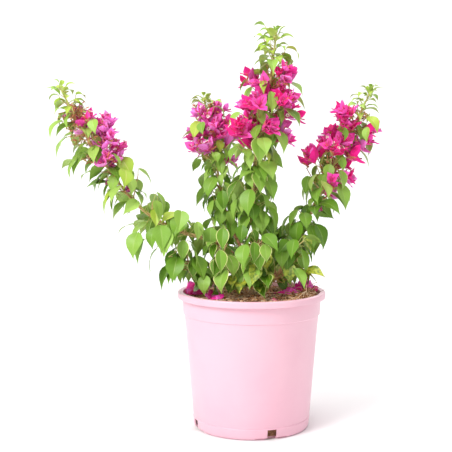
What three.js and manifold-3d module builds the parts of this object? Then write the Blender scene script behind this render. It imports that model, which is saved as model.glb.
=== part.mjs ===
// A bougainvillea bush in its nursery pot, in millimetres, +Z up.
// The origin is the centre of the pot's flat underside. -Y is the front.
//
// One short woody trunk stands in the potting mix and forks into four boughs. Each bough ends
// where its foliage begins, and the foliage is grown by one seeded rule: leaves and side twigs
// leave a stem one golden angle apart, and the side twigs carry leaves or groups of three bracts.

import * as THREE from 'three';
import { mergeVertices } from 'three/addons/utils/BufferGeometryUtils.js';
import Module from 'manifold-3d';

const wasm = await Module();
wasm.setup();

// Clearance between pieces that touch on the real plant
const GAP = 0.3;

// Corners are placed on a grid of this step, so that near ones become one
const WELD = 1e-3;
const WELD_PASSES = 3;

// Slivers thinner than this, left where pieces are joined, are smoothed away
const SLIVER = 0.08;

// Pot: a thin tapered shell with a band under a flat lip
const POT_HEIGHT = 194.2;
const BASE_RADIUS = 81.9;
const FOOT_BAND_HEIGHT = 15;
const FOOT_BAND_PROUD = 0.5;
const BODY_TOP_RADIUS = 95.4;
const BODY_TOP_HEIGHT = 162;
const COLLAR_FOOT_RADIUS = 97.3;
const COLLAR_TOP_RADIUS = 98.8;
const LIP_RADIUS = 105;
const LIP_HEIGHT = 8.6;
const LIP_ROUND = 1.4;
const WALL = 1.6;
const FLOOR = 4.2;
const BASE_ROUND = 4.5;
const SMALL_BEVEL = 0.6;
const POT_SIDES = 42;

// Drain holes through the corner between wall and floor, and the raised edge beside each
const HOLE_COUNT = 4;
const HOLE_WIDTH = 13.5;
const HOLE_HEIGHT = 14.5;
const HOLE_DEPTH = 9;
const FIRST_HOLE_ANGLE = -71.3;
const EDGE_GAP_HEIGHT = 3;
const EDGE_GAP_WIDTH = 46;

// Potting mix: a little under the rim, heaped round the trunk
const SOIL_EDGE_HEIGHT = 185.5;
const SOIL_HEAP = 5.5;
const SOIL_HEAP_SPREAD = 46;
const SOIL_RIPPLE = 0.8;
const SOIL_SIDES = 28;
const SOIL_RINGS = 4;

// Trunk, hidden in the low leaves
const TRUNK_FOOT = new THREE.Vector3(23, 2, 190.6);
const TRUNK_LENGTH = 38;
const TRUNK_RADIUS = 5.6;
const TRUNK_FLARE = 4.2;
const TRUNK_FLARE_FADE = 5;
const TRUNK_SEAT_RADIUS = 13;

// The trunk runs this far up past its named length, into the tall bough
const FORK_OVERLAP = 10;

// Leaves: the stalk and the width are shares of the blade length
const LEAF_WIDTH_SHARE = 0.74;
const LEAF_SHOULDER = 0.36;
const LEAF_KEEL = 1.1;
const LEAF_ROLL = 0.5;
const STALK_SHARE = 0.32;
const STALK_RADIUS = 0.7;
const STALK_RISE = 0.45;
const MOST_DROOP = 1.4;

// Bracts, three to a group, and how far they open in radians
const BRACT_LENGTH = 24;
const BRACT_WIDTH_SHARE = 0.68;
const BRACT_SHOULDER = 0.4;
const BRACT_KEEL = 0.9;
const BRACT_OPEN = [0.5, 0.9];
const BLOOM_STALK = 6;

// Stems and twigs, and how deep what grows on them is rooted
const TWIG_RADIUS = 1.0;
const TWIG_SIDES = 3;
const STEM_SIDES = 5;
const LIMB_SIDES = 8;
const STEP_LENGTH = 20;
const ROOT_SINK = 2.5;
const ROOT_DEPTH = 0.7;

// Growth: buds stand one golden angle apart, and young leaves crowd the last stretch under a tip
const GOLDEN_ANGLE = THREE.MathUtils.degToRad(137.508);
const FIRST_BUD = 3;
const CROWN_SPAN = 16;
const CROWN_RISE = 1.2;

// A leaf or group that finds no room is tried again, turned further aside, hung lower, on a longer stalk
const PLACE_TRIES = 9;
const TRY_SHRINK = 0.04;
const TRY_HANG = 0.15;
const TRY_STRETCH = 0.06;
const SWING = 0.45;

// Room between a mass and its neighbours, the wood and the ground, and how far leaves hang below their mass
const SPACE_MARGIN = 1.2;
const LIMB_MARGIN = 1.4;
const DROOP_ZONE = 18;
const INSIDE_RADIUS = 84;
const FLOOR_CLEAR = 1.5;
const SAMPLE_STEP = 6;

const UP = new THREE.Vector3(0, 0, 1);

// The four arms, each a curve from the foot of the bush to the tip of its stem
const ARMS = {
  tall: {
    route: [[24, 2.5, 180], [17, -2, 228], [3, -6, 290], [4, -12, 375], [22, -8, 464], [34, 2, 558]],
    footRadius: 4.6,
    tipRadius: 0.9,
  },
  left: {
    route: [[19, -1, 214], [-9, -7, 240], [-50, -14, 265], [-106, -26, 284], [-160, -37, 321],
      [-222, -50, 407], [-259, -60, 478]],
    footRadius: 3.4,
    tipRadius: 0.9,
  },
  back: {
    route: [[18, -1, 220], [-8, 12, 243], [-37, 32, 306], [-53, 50, 388], [-69, 64, 470]],
    footRadius: 2.9,
    tipRadius: 0.9,
  },
  right: {
    route: [[21, 1, 208], [46, 7, 226], [60, 15, 256], [88, 24, 310], [130, 37, 394], [175, 51, 480]],
    footRadius: 3.4,
    tipRadius: 0.9,
  },
};

// Low shoots that leave the trunk near the potting mix
const LOW_SHOOTS = {
  front: { route: [[21, 1, 201], [12, -26, 224], [0, -46, 268]], seed: 30351 },
  front_left: { route: [[21, 1, 203], [-22, -20, 216], [-50, -36, 262]], seed: 19352 },
  far_left: { route: [[21, 1, 200], [-38, -8, 204], [-82, -20, 222], [-94, -32, 268]], seed: 11753 },
  front_right: { route: [[22, 2, 204], [48, -20, 224], [64, -30, 268]], seed: 26554 },
  back_right: { route: [[22, 2, 202], [44, 34, 220], [58, 56, 268]], seed: 24955 },
  back_left: { route: [[21, 1, 201], [-14, 30, 218], [-46, 52, 262]], seed: 26956 },
};
for (const [name, shoot] of Object.entries(LOW_SHOOTS)) {
  ARMS[`low_${name}`] = { route: shoot.route, footRadius: 2.2, tipRadius: 0.9 };
}

// Each mass of foliage: the stretch of its arm in millimetres, how far it reaches from its stem,
// the spacing of its buds, its leaf length at foot and tip, how far the leaves hang in degrees,
// the share of buds that send out a twig, the twig length, how much twigs turn upwards, the
// stretch that flowers, and the number of young leaves round the tip
const LEAFY = { twigs: 0.35, twigLength: [22, 20], lift: 0.2, bloom: [2, 2], crown: 0 };
const FLOWERING = { twigs: 0.45, lift: 0.35, crown: 7 };
const MASSES = [
  { ...LEAFY, name: 'left_leaves', arm: 'left', from: 86, to: 206, reach: 78, spacing: [6.5, 6.5],
    leaf: [36, 34], droop: [60, 45], twigs: 0.5, twigLength: [34, 24], seed: 39811 },
  { ...FLOWERING, name: 'left_flowers', arm: 'left', from: 206, reach: 64, spacing: [6, 6],
    leaf: [32, 24], droop: [55, 25], twigLength: [38, 20], lift: 0.9, bloom: [0.24, 0.68], seed: 50512 },
  { ...LEAFY, name: 'tall_leaves', arm: 'tall', from: 100, to: 196, reach: 70, spacing: [6, 6],
    leaf: [38, 34], droop: [70, 60], seed: 13321 },
  { ...FLOWERING, name: 'tall_flowers', arm: 'tall', from: 196, reach: 66, spacing: [4.5, 5.5],
    leaf: [34, 24], droop: [60, 20], twigLength: [50, 18], bloom: [0.02, 0.56], seed: 29222 },
  { ...LEAFY, name: 'back_leaves', arm: 'back', from: 76, to: 166, reach: 58, spacing: [6.5, 6.5],
    leaf: [34, 30], droop: [70, 60], seed: 38531 },
  { ...FLOWERING, name: 'back_flowers', arm: 'back', from: 166, reach: 52, spacing: [5, 5.5],
    leaf: [28, 21], droop: [55, 20], twigLength: [36, 18], bloom: [0, 0.74], seed: 73832 },
  { ...LEAFY, name: 'right_leaves', arm: 'right', from: 60, to: 138, reach: 60, spacing: [6.5, 6.5],
    leaf: [36, 32], droop: [70, 55], seed: 35741 },
  { ...FLOWERING, name: 'right_flowers', arm: 'right', from: 138, reach: 60, spacing: [5, 6],
    leaf: [34, 22], droop: [60, 25], twigLength: [38, 18], bloom: [0.02, 0.66], seed: 55642 },
];
const LOW_MASS = {
  ...LEAFY, from: 14, reach: 60, spacing: [6.5, 6.5], leaf: [35, 32], droop: [65, 50], twigLength: [20, 18],
};
for (const [name, shoot] of Object.entries(LOW_SHOOTS)) {
  MASSES.push({ ...LOW_MASS, name: `low_${name}_leaves`, arm: `low_${name}`, seed: shoot.seed });
}

// The bare boughs, each from the trunk to the foot of its foliage
const BOUGHS = ['left', 'back', 'right', 'tall'];

// Materials
function finish(name, color, roughness) {
  return new THREE.MeshStandardMaterial({ name, color, roughness, metalness: 0 });
}
const MATERIALS = {
  pot: finish('pink plastic', 0xf7c4dc, 0.42),
  soil: finish('potting mix', 0x6b4630, 0.95),
  bark: finish('brown bark', 0x8a6248, 0.85),
  leaves: finish('green leaves', 0x6f9a45, 0.5),
  flowers: finish('magenta bracts', 0xd81b8c, 0.6),
};

// Solids and meshes

function solidOf(geometry, weld = 1e-4) {
  const bare = geometry.clone();
  bare.deleteAttribute('normal');
  bare.deleteAttribute('uv');
  const merged = mergeVertices(bare, weld);
  return new wasm.Manifold(new wasm.Mesh({
    numProp: 3,
    vertProperties: new Float32Array(merged.getAttribute('position').array),
    triVerts: new Uint32Array(merged.index.array),
  }));
}

function surfaceOf(solid) {
  const mesh = solid.getMesh();
  const snapped = mesh.vertProperties.map((value) => Math.round(value / WELD) * WELD);
  const geometry = new THREE.BufferGeometry();
  geometry.setAttribute('position', new THREE.BufferAttribute(snapped, 3));
  geometry.setIndex(new THREE.BufferAttribute(mesh.triVerts, 1));
  return geometry;
}

// The largest body of a solid, with its corners on a fine grid. Scraps that the joining cut loose and the
// inner skins of hollows that it sealed are left off.
function geometryOf(solid) {
  let body = solid;
  for (let pass = 0; pass < WELD_PASSES; pass += 1) {
    const bodies = solidOf(surfaceOf(body)).simplify(SLIVER).decompose();
    bodies.sort((one, other) => other.volume() - one.volume());
    body = bodies[0];
  }
  const geometry = surfaceOf(body);
  geometry.computeVertexNormals();
  return geometry;
}

// True where every edge of the snapped surface has two faces: two sheets that only touch have four
function isClean(solid) {
  const merged = mergeVertices(surfaceOf(solid), 1e-4);
  const uses = new Map();
  const index = merged.index.array;
  for (let i = 0; i < index.length; i += 3) {
    const corners = [index[i], index[i + 1], index[i + 2]];
    if (new Set(corners).size < 3) {
      continue;
    }
    for (let side = 0; side < 3; side += 1) {
      const ends = [corners[side], corners[(side + 1) % 3]].sort((one, other) => one - other);
      const key = ends.join(' ');
      uses.set(key, (uses.get(key) ?? 0) + 1);
    }
  }
  return [...uses.values()].every((count) => count === 2);
}

// Joins a piece on, and leaves off one that would only touch along an edge
function join(solid, piece) {
  const joined = solid.add(solidOf(piece));
  return isClean(joined) ? joined : solid;
}

function closedGeometry(corners, faces) {
  const geometry = new THREE.BufferGeometry();
  const positions = corners.flatMap((corner) => corner.toArray());
  geometry.setAttribute('position', new THREE.Float32BufferAttribute(positions, 3));
  geometry.setIndex(faces.flat());
  return geometry;
}

// Curves

class Stretch extends THREE.Curve {
  constructor(whole, from, to) {
    super();
    this.whole = whole;
    this.from = from;
    this.to = to;
  }

  getPoint(share) {
    const along = THREE.MathUtils.lerp(this.from, this.to, share);
    return this.whole.getPointAt(THREE.MathUtils.clamp(along / this.whole.getLength(), 0, 1));
  }
}

for (const arm of Object.values(ARMS)) {
  const stations = arm.route.map((place) => new THREE.Vector3(...place));
  arm.curve = new THREE.CatmullRomCurve3(stations, false, 'catmullrom', 0.5);
  arm.length = arm.curve.getLength();
}

function armRadius(arm, along) {
  return THREE.MathUtils.lerp(arm.footRadius, arm.tipRadius, Math.min(1, along / arm.length));
}

// A round limb that follows a stretch of a curve: a cylinder bent along it, with its own radius law
function limbGeometry(curve, from, to, radiusAt, sides) {
  const steps = Math.max(2, Math.ceil((to - from) / STEP_LENGTH));
  const stretch = new Stretch(curve, from, to);
  const frames = stretch.computeFrenetFrames(steps, false);
  const geometry = new THREE.CylinderGeometry(1, 1, 1, sides, steps);
  const places = geometry.getAttribute('position');
  for (let i = 0; i < places.count; i += 1) {
    const share = places.getY(i) + 0.5;
    const step = Math.round(share * steps);
    const centre = stretch.getPointAt(step / steps);
    const radius = radiusAt(THREE.MathUtils.lerp(from, to, share));
    centre.addScaledVector(frames.normals[step], -radius * places.getX(i));
    centre.addScaledVector(frames.binormals[step], radius * places.getZ(i));
    places.setXYZ(i, centre.x, centre.y, centre.z);
  }
  return geometry;
}

// A straight twig between two points
function twigGeometry(root, tip, rootRadius, tipRadius) {
  const length = root.distanceTo(tip);
  const geometry = new THREE.CylinderGeometry(tipRadius, rootRadius, length, TWIG_SIDES);
  geometry.translate(0, length / 2, 0);
  const turn = new THREE.Quaternion().setFromUnitVectors(
    new THREE.Vector3(0, 1, 0), tip.clone().sub(root).normalize());
  geometry.applyQuaternion(turn);
  geometry.translate(root.x, root.y, root.z);
  return geometry;
}

// Seeded growth

function seededRandom(seed) {
  let state = seed * 7919 + 12345;
  return () => {
    state = (state * 1664525 + 1013904223) % 4294967296;
    return state / 4294967296;
  };
}

function sideways(direction) {
  const flat = new THREE.Vector3(direction.x, direction.y, 0);
  if (flat.length() < 0.05) {
    flat.set(0, -1, 0);
  }
  return flat.normalize();
}

function halfway(one, other) {
  return one.clone().lerp(other, 0.5);
}

// A leaf leaves its root on a rising stalk, and its blade hangs from the neck
function leafPose(root, outward, stalk, blade, droop, roll) {
  const rise = outward.clone().addScaledVector(UP, STALK_RISE).normalize();
  const neck = root.clone().addScaledVector(rise, stalk);
  const flat = sideways(outward);
  const along = flat.clone().multiplyScalar(Math.cos(droop)).addScaledVector(UP, -Math.sin(droop));
  const side = new THREE.Vector3().crossVectors(UP, flat).applyAxisAngle(along, roll);
  const face = new THREE.Vector3().crossVectors(along, side).normalize();
  const shoulder = neck.clone().addScaledVector(along, blade * LEAF_SHOULDER);
  const half = 0.5 * blade * LEAF_WIDTH_SHARE;
  return {
    root,
    rise,
    neck,
    side,
    under: new THREE.Vector3().crossVectors(side, rise).normalize(),
    left: shoulder.clone().addScaledVector(side, -half),
    right: shoulder.clone().addScaledVector(side, half),
    keel: shoulder.clone().addScaledVector(face, -LEAF_KEEL),
    tip: neck.clone().addScaledVector(along, blade),
  };
}

// A stalk that widens from a point inside the wood, then a kite-shaped blade with a keel below
function leafGeometry(pose) {
  const corners = [
    pose.root.clone().addScaledVector(pose.rise, -ROOT_DEPTH),
    pose.neck.clone().addScaledVector(pose.side, -STALK_RADIUS),
    pose.neck.clone().addScaledVector(pose.side, STALK_RADIUS),
    pose.neck.clone().addScaledVector(pose.under, 1.5 * STALK_RADIUS),
    pose.left,
    pose.right,
    pose.keel,
    pose.tip,
  ];
  const faces = [];
  for (let i = 0; i < 3; i += 1) {
    const next = (i + 1) % 3;
    faces.push([0, i + 1, next + 1]);
    faces.push([i + 1, i + 4, next + 4], [i + 1, next + 4, next + 1]);
    faces.push([i + 4, 7, next + 4]);
  }
  return closedGeometry(corners, faces);
}

// Three bracts open round one axis at the end of a thin stalk
function bloomPose(root, axis, stalk, bract, open, turn) {
  const neck = root.clone().addScaledVector(axis, stalk);
  const first = new THREE.Vector3().crossVectors(axis, UP);
  if (first.length() < 0.05) {
    first.set(1, 0, 0);
  }
  first.normalize();
  const bracts = [];
  for (let i = 0; i < 3; i += 1) {
    const angle = turn + (i * 2 * Math.PI) / 3;
    const radial = first.clone().applyAxisAngle(axis, angle);
    const side = new THREE.Vector3().crossVectors(axis, radial).normalize();
    const along = axis.clone().multiplyScalar(Math.cos(open)).addScaledVector(radial, Math.sin(open));
    const outer = radial.clone().multiplyScalar(Math.cos(open)).addScaledVector(axis, -Math.sin(open));
    const shoulder = neck.clone().addScaledVector(along, bract * BRACT_SHOULDER);
    const half = 0.5 * bract * BRACT_WIDTH_SHARE;
    bracts.push({
      radial,
      left: shoulder.clone().addScaledVector(side, -half),
      right: shoulder.clone().addScaledVector(side, half),
      keel: shoulder.clone().addScaledVector(outer, BRACT_KEEL),
      tip: neck.clone().addScaledVector(along, bract),
    });
  }
  return { root, neck, axis, bracts };
}

function bloomGeometry(pose) {
  const heart = pose.neck.clone().addScaledVector(pose.axis, 2 * STALK_RADIUS);
  const foot = pose.root.clone().addScaledVector(pose.axis, -ROOT_DEPTH);
  const corners = [foot, heart];
  pose.bracts.forEach((bract, i) => {
    const next = pose.bracts[(i + 1) % 3];
    const between = bract.radial.clone().add(next.radial).normalize();
    corners.push(pose.neck.clone().addScaledVector(between, STALK_RADIUS));
  });
  pose.bracts.forEach((bract) => corners.push(bract.left, bract.right, bract.keel, bract.tip));
  const faces = [];
  for (let i = 0; i < 3; i += 1) {
    const before = 2 + ((i + 2) % 3);
    const after = 2 + i;
    const [left, right, keel, tip] = [0, 1, 2, 3].map((corner) => 5 + 4 * i + corner);
    faces.push([0, after, before]);
    faces.push([1, tip, right], [1, left, tip]);
    faces.push([before, keel, left], [before, after, keel], [after, right, keel]);
    faces.push([keel, tip, left], [keel, right, tip]);
    faces.push([1, before, left], [1, right, after]);
  }
  return closedGeometry(corners, faces);
}

// Spaces: every mass keeps the points that are nearer to its own spine than to any other,
// measured in reaches, and stays off the limbs, the pot and the mix

function samplePath(curve, from, to) {
  const count = Math.max(2, Math.ceil((to - from) / SAMPLE_STEP));
  const length = curve.getLength();
  const points = [];
  for (let i = 0; i <= count; i += 1) {
    const along = THREE.MathUtils.lerp(from, to, i / count);
    points.push(curve.getPointAt(THREE.MathUtils.clamp(along / length, 0, 1)));
  }
  return points;
}

function distanceTo(point, path) {
  let nearest = Infinity;
  const line = new THREE.Line3();
  const foot = new THREE.Vector3();
  for (let i = 1; i < path.length; i += 1) {
    line.set(path[i - 1], path[i]);
    line.closestPointToPoint(point, true, foot);
    nearest = Math.min(nearest, foot.distanceTo(point));
  }
  return nearest;
}

for (const mass of MASSES) {
  const arm = ARMS[mass.arm];
  mass.to ??= arm.length;
  const below = MASSES.find((other) => other.arm === mass.arm && other.to === mass.from);
  const above = MASSES.find((other) => other.arm === mass.arm && other.from === mass.to);
  const spineFrom = mass.from - (below ? DROOP_ZONE : 0);
  const spineTo = mass.to - (above ? DROOP_ZONE : 0);
  mass.spine = samplePath(arm.curve, spineFrom, spineTo);
}

// Wood that a mass stays clear of: the trunk, the other arms, and its own arm below and above its stretch
const TRUNK_WOOD = {
  radius: TRUNK_RADIUS + TRUNK_FLARE,
  path: samplePath(ARMS.tall.curve, 0, TRUNK_LENGTH + FORK_OVERLAP),
};
for (const mass of MASSES) {
  const arm = ARMS[mass.arm];
  mass.wood = [TRUNK_WOOD];
  for (const other of Object.values(ARMS).filter((one) => one !== arm)) {
    mass.wood.push({ radius: other.footRadius, path: samplePath(other.curve, 0, other.length) });
  }
  if (!mass.arm.startsWith('low_')) {
    mass.wood.push({ radius: arm.footRadius, path: samplePath(arm.curve, 0, mass.from) });
  }
  if (mass.to < arm.length) {
    mass.wood.push({ radius: arm.footRadius, path: samplePath(arm.curve, mass.to, arm.length) });
  }
}

function fits(points, mass) {
  for (const point of points) {
    const insidePot = Math.hypot(point.x, point.y) < INSIDE_RADIUS;
    const floor = insidePot ? SOIL_EDGE_HEIGHT + SOIL_HEAP : POT_HEIGHT;
    if (point.z < floor + FLOOR_CLEAR) {
      return false;
    }
    const own = distanceTo(point, mass.spine);
    if (own > mass.reach) {
      return false;
    }
    for (const other of MASSES) {
      const room = distanceTo(point, other.spine) / other.reach - own / mass.reach;
      if (other !== mass && room * mass.reach < SPACE_MARGIN) {
        return false;
      }
    }
    if (mass.wood.some(({ radius, path }) => distanceTo(point, path) < radius + LIMB_MARGIN)) {
      return false;
    }
  }
  return true;
}

// True where a blade comes too near the wood
function touchesWood(pose, mass) {
  const blades = bladesOf(pose).map((corners) => new THREE.Triangle(...corners));
  const nearest = new THREE.Vector3();
  return mass.wood.some(({ radius, path }) => path.some((point) => blades.some((blade) => {
    blade.closestPointToPoint(point, nearest);
    return nearest.distanceTo(point) < radius + LIMB_MARGIN;
  })));
}

// A blade as its two flat triangles: three blades for a group of bracts
function bladesOf(pose) {
  const shapes = pose.bracts ?? [pose];
  return shapes.flatMap(({ left, right, tip }) => [[pose.neck, left, right], [left, tip, right]]);
}

function edgeMeets(from, to, triangle) {
  const reach = from.distanceTo(to);
  const ray = new THREE.Ray(from, to.clone().sub(from).divideScalar(reach));
  const hit = ray.intersectTriangle(triangle[0], triangle[1], triangle[2], false, new THREE.Vector3());
  return hit !== null && hit.distanceTo(from) < reach;
}

function trianglesCross(one, other) {
  for (let i = 0; i < 3; i += 1) {
    const next = (i + 1) % 3;
    if (edgeMeets(one[i], one[next], other) || edgeMeets(other[i], other[next], one)) {
      return true;
    }
  }
  return false;
}

// True where a new leaf or group would cut through one that is already there, or through a twig
function crosses(pose, grown) {
  const blades = bladesOf(pose);
  const cutBy = ({ root, tip }) => blades.some((blade) => edgeMeets(root, tip, blade));
  if (grown.twigs.some(cutBy)) {
    return true;
  }
  const span = pose.root.distanceTo(blades[1][1]);
  return [...grown.leaves, ...grown.blooms].some((other) => {
    if (other.neck.distanceTo(pose.neck) > 2 * span) {
      return false;
    }
    const theirs = bladesOf(other);
    return cutBy({ root: other.root, tip: other.neck })
      || theirs.some((blade) => edgeMeets(pose.root, pose.neck, blade))
      || theirs.some((blade) => blades.some((own) => trianglesCross(own, blade)));
  });
}

// Grows one mass: the leaves, twigs and groups of bracts along its stem
function growMass(mass) {
  const arm = ARMS[mass.arm];
  const random = seededRandom(mass.seed);
  const between = (low, high) => low + (high - low) * random();
  const grown = { twigs: [], leaves: [], blooms: [] };

  const addLeaf = (root, outward, blade, droop) => {
    for (let attempt = 0; attempt < PLACE_TRIES; attempt += 1) {
      const swing = outward.clone().applyAxisAngle(UP, attempt * SWING * (-1) ** attempt);
      const hang = Math.min(MOST_DROOP, droop + TRY_HANG * attempt);
      const stalk = blade * (STALK_SHARE + TRY_STRETCH * attempt);
      const length = blade * (1 - TRY_SHRINK * attempt);
      const pose = leafPose(root, swing, stalk, length, hang, between(-LEAF_ROLL, LEAF_ROLL));
      const outline = [pose.neck, pose.left, pose.right, pose.keel, pose.tip];
      outline.push(...[pose.left, pose.right, pose.keel].map((corner) => halfway(corner, pose.tip)));
      if (fits(outline, mass) && !touchesWood(pose, mass) && !crosses(pose, grown)) {
        grown.leaves.push(pose);
        return;
      }
    }
  };

  const addBloom = (root, axis, stalk, bract) => {
    for (let attempt = 0; attempt < PLACE_TRIES; attempt += 1) {
      const swing = axis.clone().applyAxisAngle(UP, attempt * SWING * (-1) ** attempt);
      const pose = bloomPose(root, swing, stalk, bract, between(...BRACT_OPEN), between(0, 2));
      const outline = pose.bracts.flatMap((one) => [one.left, one.right, one.keel, one.tip]);
      if (fits([pose.neck, ...outline], mass) && !touchesWood(pose, mass) && !crosses(pose, grown)) {
        grown.blooms.push(pose);
        return;
      }
    }
  };

  const addTwig = (root, way, length) => {
    const tip = root.clone().addScaledVector(way, length);
    const blocked = [...grown.leaves, ...grown.blooms].some((other) => (
      bladesOf(other).some((blade) => edgeMeets(root, tip, blade))));
    const outerPart = [0.4, 0.7, 1].map((share) => root.clone().lerp(tip, share));
    if (!fits(outerPart, mass) || blocked) {
      return null;
    }
    grown.twigs.push({ root, tip });
    return tip.clone().addScaledVector(way, -ROOT_SINK);
  };

  let along = mass.from + FIRST_BUD;
  for (let bud = 0; along < mass.to - 2; bud += 1) {
    const share = (along - mass.from) / (mass.to - mass.from);
    const mix = (pair) => THREE.MathUtils.lerp(pair[0], pair[1], share);
    const place = arm.curve.getPointAt(along / arm.length);
    const ahead = arm.curve.getTangentAt(along / arm.length);
    const aside = new THREE.Vector3().crossVectors(ahead, new THREE.Vector3(0, 1, 0)).normalize();
    const outward = aside.applyAxisAngle(ahead, mass.seed + bud * GOLDEN_ANGLE + between(-0.4, 0.4));
    const droop = THREE.MathUtils.degToRad(mix(mass.droop) + between(-18, 18));
    const blade = mix(mass.leaf) * between(0.8, 1.15);
    addLeaf(place, outward, blade, droop);

    const way = outward.clone().multiplyScalar(-1).addScaledVector(ahead, 0.5).addScaledVector(UP, mass.lift);
    way.normalize();
    const other = way.clone().applyAxisAngle(UP, between(-0.9, 0.9));
    const branches = random() < mass.twigs;
    const length = mix(mass.twigLength) * between(0.7, 1.2);
    if (share >= mass.bloom[0] && share <= mass.bloom[1]) {
      const end = branches ? addTwig(place, way, length) : null;
      if (end) {
        addBloom(end, other, BLOOM_STALK, BRACT_LENGTH * between(0.85, 1.15));
      } else {
        addBloom(place, way, length * between(0.25, 0.85), BRACT_LENGTH * between(0.8, 1.1));
      }
    } else if (branches) {
      const end = addTwig(place, way, length);
      if (end) {
        addLeaf(end, way, blade * 0.95, droop);
        addLeaf(halfway(place, end), other, blade * 0.85, droop);
      }
    }
    along += mix(mass.spacing) * between(0.85, 1.15);
  }

  // Young leaves round the growing tip
  for (let i = 0; i < mass.crown; i += 1) {
    const back = (i * CROWN_SPAN) / mass.crown;
    const place = arm.curve.getPointAt(1 - (2 + back) / arm.length);
    const outward = new THREE.Vector3(1, 0, 0).applyAxisAngle(UP, mass.seed + i * GOLDEN_ANGLE);
    outward.addScaledVector(UP, CROWN_RISE * (1 - back / CROWN_SPAN));
    addLeaf(place, outward, mass.leaf[1] * (0.8 + 0.5 * back / CROWN_SPAN), between(-0.7, 0.1));
  }
  return grown;
}

// Pieces of the pot and the wood

const WALL_SLOPE = (BODY_TOP_RADIUS - BASE_RADIUS) / BODY_TOP_HEIGHT;

function potSolid() {
  const collarFoot = BODY_TOP_HEIGHT + SMALL_BEVEL;
  const lipFoot = POT_HEIGHT - LIP_HEIGHT;
  const outer = (height) => BASE_RADIUS + WALL_SLOPE * height;
  const profile = [
    [0, 0],
    [BASE_RADIUS - BASE_ROUND, 0],
    [BASE_RADIUS - 0.3 * BASE_ROUND, 0.3 * BASE_ROUND],
    [outer(BASE_ROUND), BASE_ROUND],
    [outer(FOOT_BAND_HEIGHT) + FOOT_BAND_PROUD, FOOT_BAND_HEIGHT],
    [outer(FOOT_BAND_HEIGHT), FOOT_BAND_HEIGHT + SMALL_BEVEL],
    [BODY_TOP_RADIUS, BODY_TOP_HEIGHT],
    [COLLAR_FOOT_RADIUS, collarFoot],
    [COLLAR_TOP_RADIUS, lipFoot],
    [LIP_RADIUS - SMALL_BEVEL, lipFoot],
    [LIP_RADIUS, lipFoot + SMALL_BEVEL],
    [LIP_RADIUS, POT_HEIGHT - LIP_ROUND],
    [LIP_RADIUS - LIP_ROUND, POT_HEIGHT],
    [COLLAR_TOP_RADIUS - WALL / 2, POT_HEIGHT],
    [COLLAR_TOP_RADIUS - WALL, POT_HEIGHT - LIP_ROUND],
    [COLLAR_FOOT_RADIUS - WALL, collarFoot + WALL],
    [BODY_TOP_RADIUS - WALL, BODY_TOP_HEIGHT + WALL],
    [outer(FLOOR) - WALL, FLOOR + 1],
    [outer(FLOOR) - WALL - 1, FLOOR],
    [0, FLOOR],
  ];
  const lathe = new THREE.LatheGeometry(profile.map(([r, z]) => new THREE.Vector2(r, z)), POT_SIDES);
  let solid = solidOf(lathe.rotateX(Math.PI / 2));
  for (let i = 0; i < HOLE_COUNT; i += 1) {
    const turn = THREE.MathUtils.degToRad(FIRST_HOLE_ANGLE + (i * 360) / HOLE_COUNT);
    const hole = new THREE.BoxGeometry(2 * HOLE_DEPTH, HOLE_WIDTH, 2 * HOLE_HEIGHT);
    hole.translate(BASE_RADIUS, 0, 0).rotateZ(turn);
    const edge = new THREE.BoxGeometry(12, EDGE_GAP_WIDTH, 2 * EDGE_GAP_HEIGHT);
    edge.translate(BASE_RADIUS, 0, 0).rotateZ(turn);
    solid = solid.subtract(solidOf(hole)).subtract(solidOf(edge));
  }
  return solid;
}

function soilHeight(x, y) {
  const fromTrunk = Math.hypot(x - TRUNK_FOOT.x, y - TRUNK_FOOT.y);
  const heap = SOIL_HEAP * Math.exp(-((fromTrunk / SOIL_HEAP_SPREAD) ** 2));
  const ripple = SOIL_RIPPLE * Math.sin(x / 9) * Math.cos(y / 7 + 1);
  return SOIL_EDGE_HEIGHT + heap + ripple;
}

function soilSolid() {
  const inner = (height) => BASE_RADIUS + WALL_SLOPE * height - WALL - 2 * GAP;
  const profile = [
    [0, FLOOR + GAP],
    [inner(FLOOR) - 2, FLOOR + GAP],
    [inner(FLOOR) - 0.5, FLOOR + 2.5],
    [inner(BODY_TOP_HEIGHT), BODY_TOP_HEIGHT],
  ];
  const topRadius = COLLAR_FOOT_RADIUS - WALL - 2 * GAP;
  for (let i = 0; i <= SOIL_RINGS; i += 1) {
    profile.push([topRadius * (1 - i / SOIL_RINGS), SOIL_EDGE_HEIGHT]);
  }
  const lathe = new THREE.LatheGeometry(profile.map(([r, z]) => new THREE.Vector2(r, z)), SOIL_SIDES);
  lathe.rotateX(Math.PI / 2);
  const places = lathe.getAttribute('position');
  for (let i = 0; i < places.count; i += 1) {
    if (places.getZ(i) > SOIL_EDGE_HEIGHT - 1) {
      places.setZ(i, soilHeight(places.getX(i), places.getY(i)));
    }
  }
  const seat = new THREE.CylinderGeometry(TRUNK_SEAT_RADIUS, TRUNK_SEAT_RADIUS, 20, 24);
  seat.rotateX(Math.PI / 2).translate(TRUNK_FOOT.x, TRUNK_FOOT.y, TRUNK_FOOT.z - GAP + 10);
  return solidOf(lathe).subtract(solidOf(seat));
}

function trunkSolid(extra) {
  const radiusAt = (along) => {
    const flare = TRUNK_FLARE * Math.exp(-Math.max(0, along - 10) / TRUNK_FLARE_FADE);
    return TRUNK_RADIUS + flare + extra;
  };
  const whole = solidOf(limbGeometry(ARMS.tall.curve, 0, TRUNK_LENGTH + extra + FORK_OVERLAP, radiusAt, 12));
  const ground = new THREE.BoxGeometry(60, 60, 40);
  ground.translate(TRUNK_FOOT.x, TRUNK_FOOT.y, TRUNK_FOOT.z - 20);
  return whole.subtract(solidOf(ground));
}

function stretchSolid(arm, from, to, extra, sides) {
  const radiusAt = (along) => armRadius(arm, along) + extra;
  return solidOf(limbGeometry(arm.curve, from, to, radiusAt, sides));
}

const bush = new THREE.Group();
bush.name = 'potted_bougainvillea';

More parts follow.
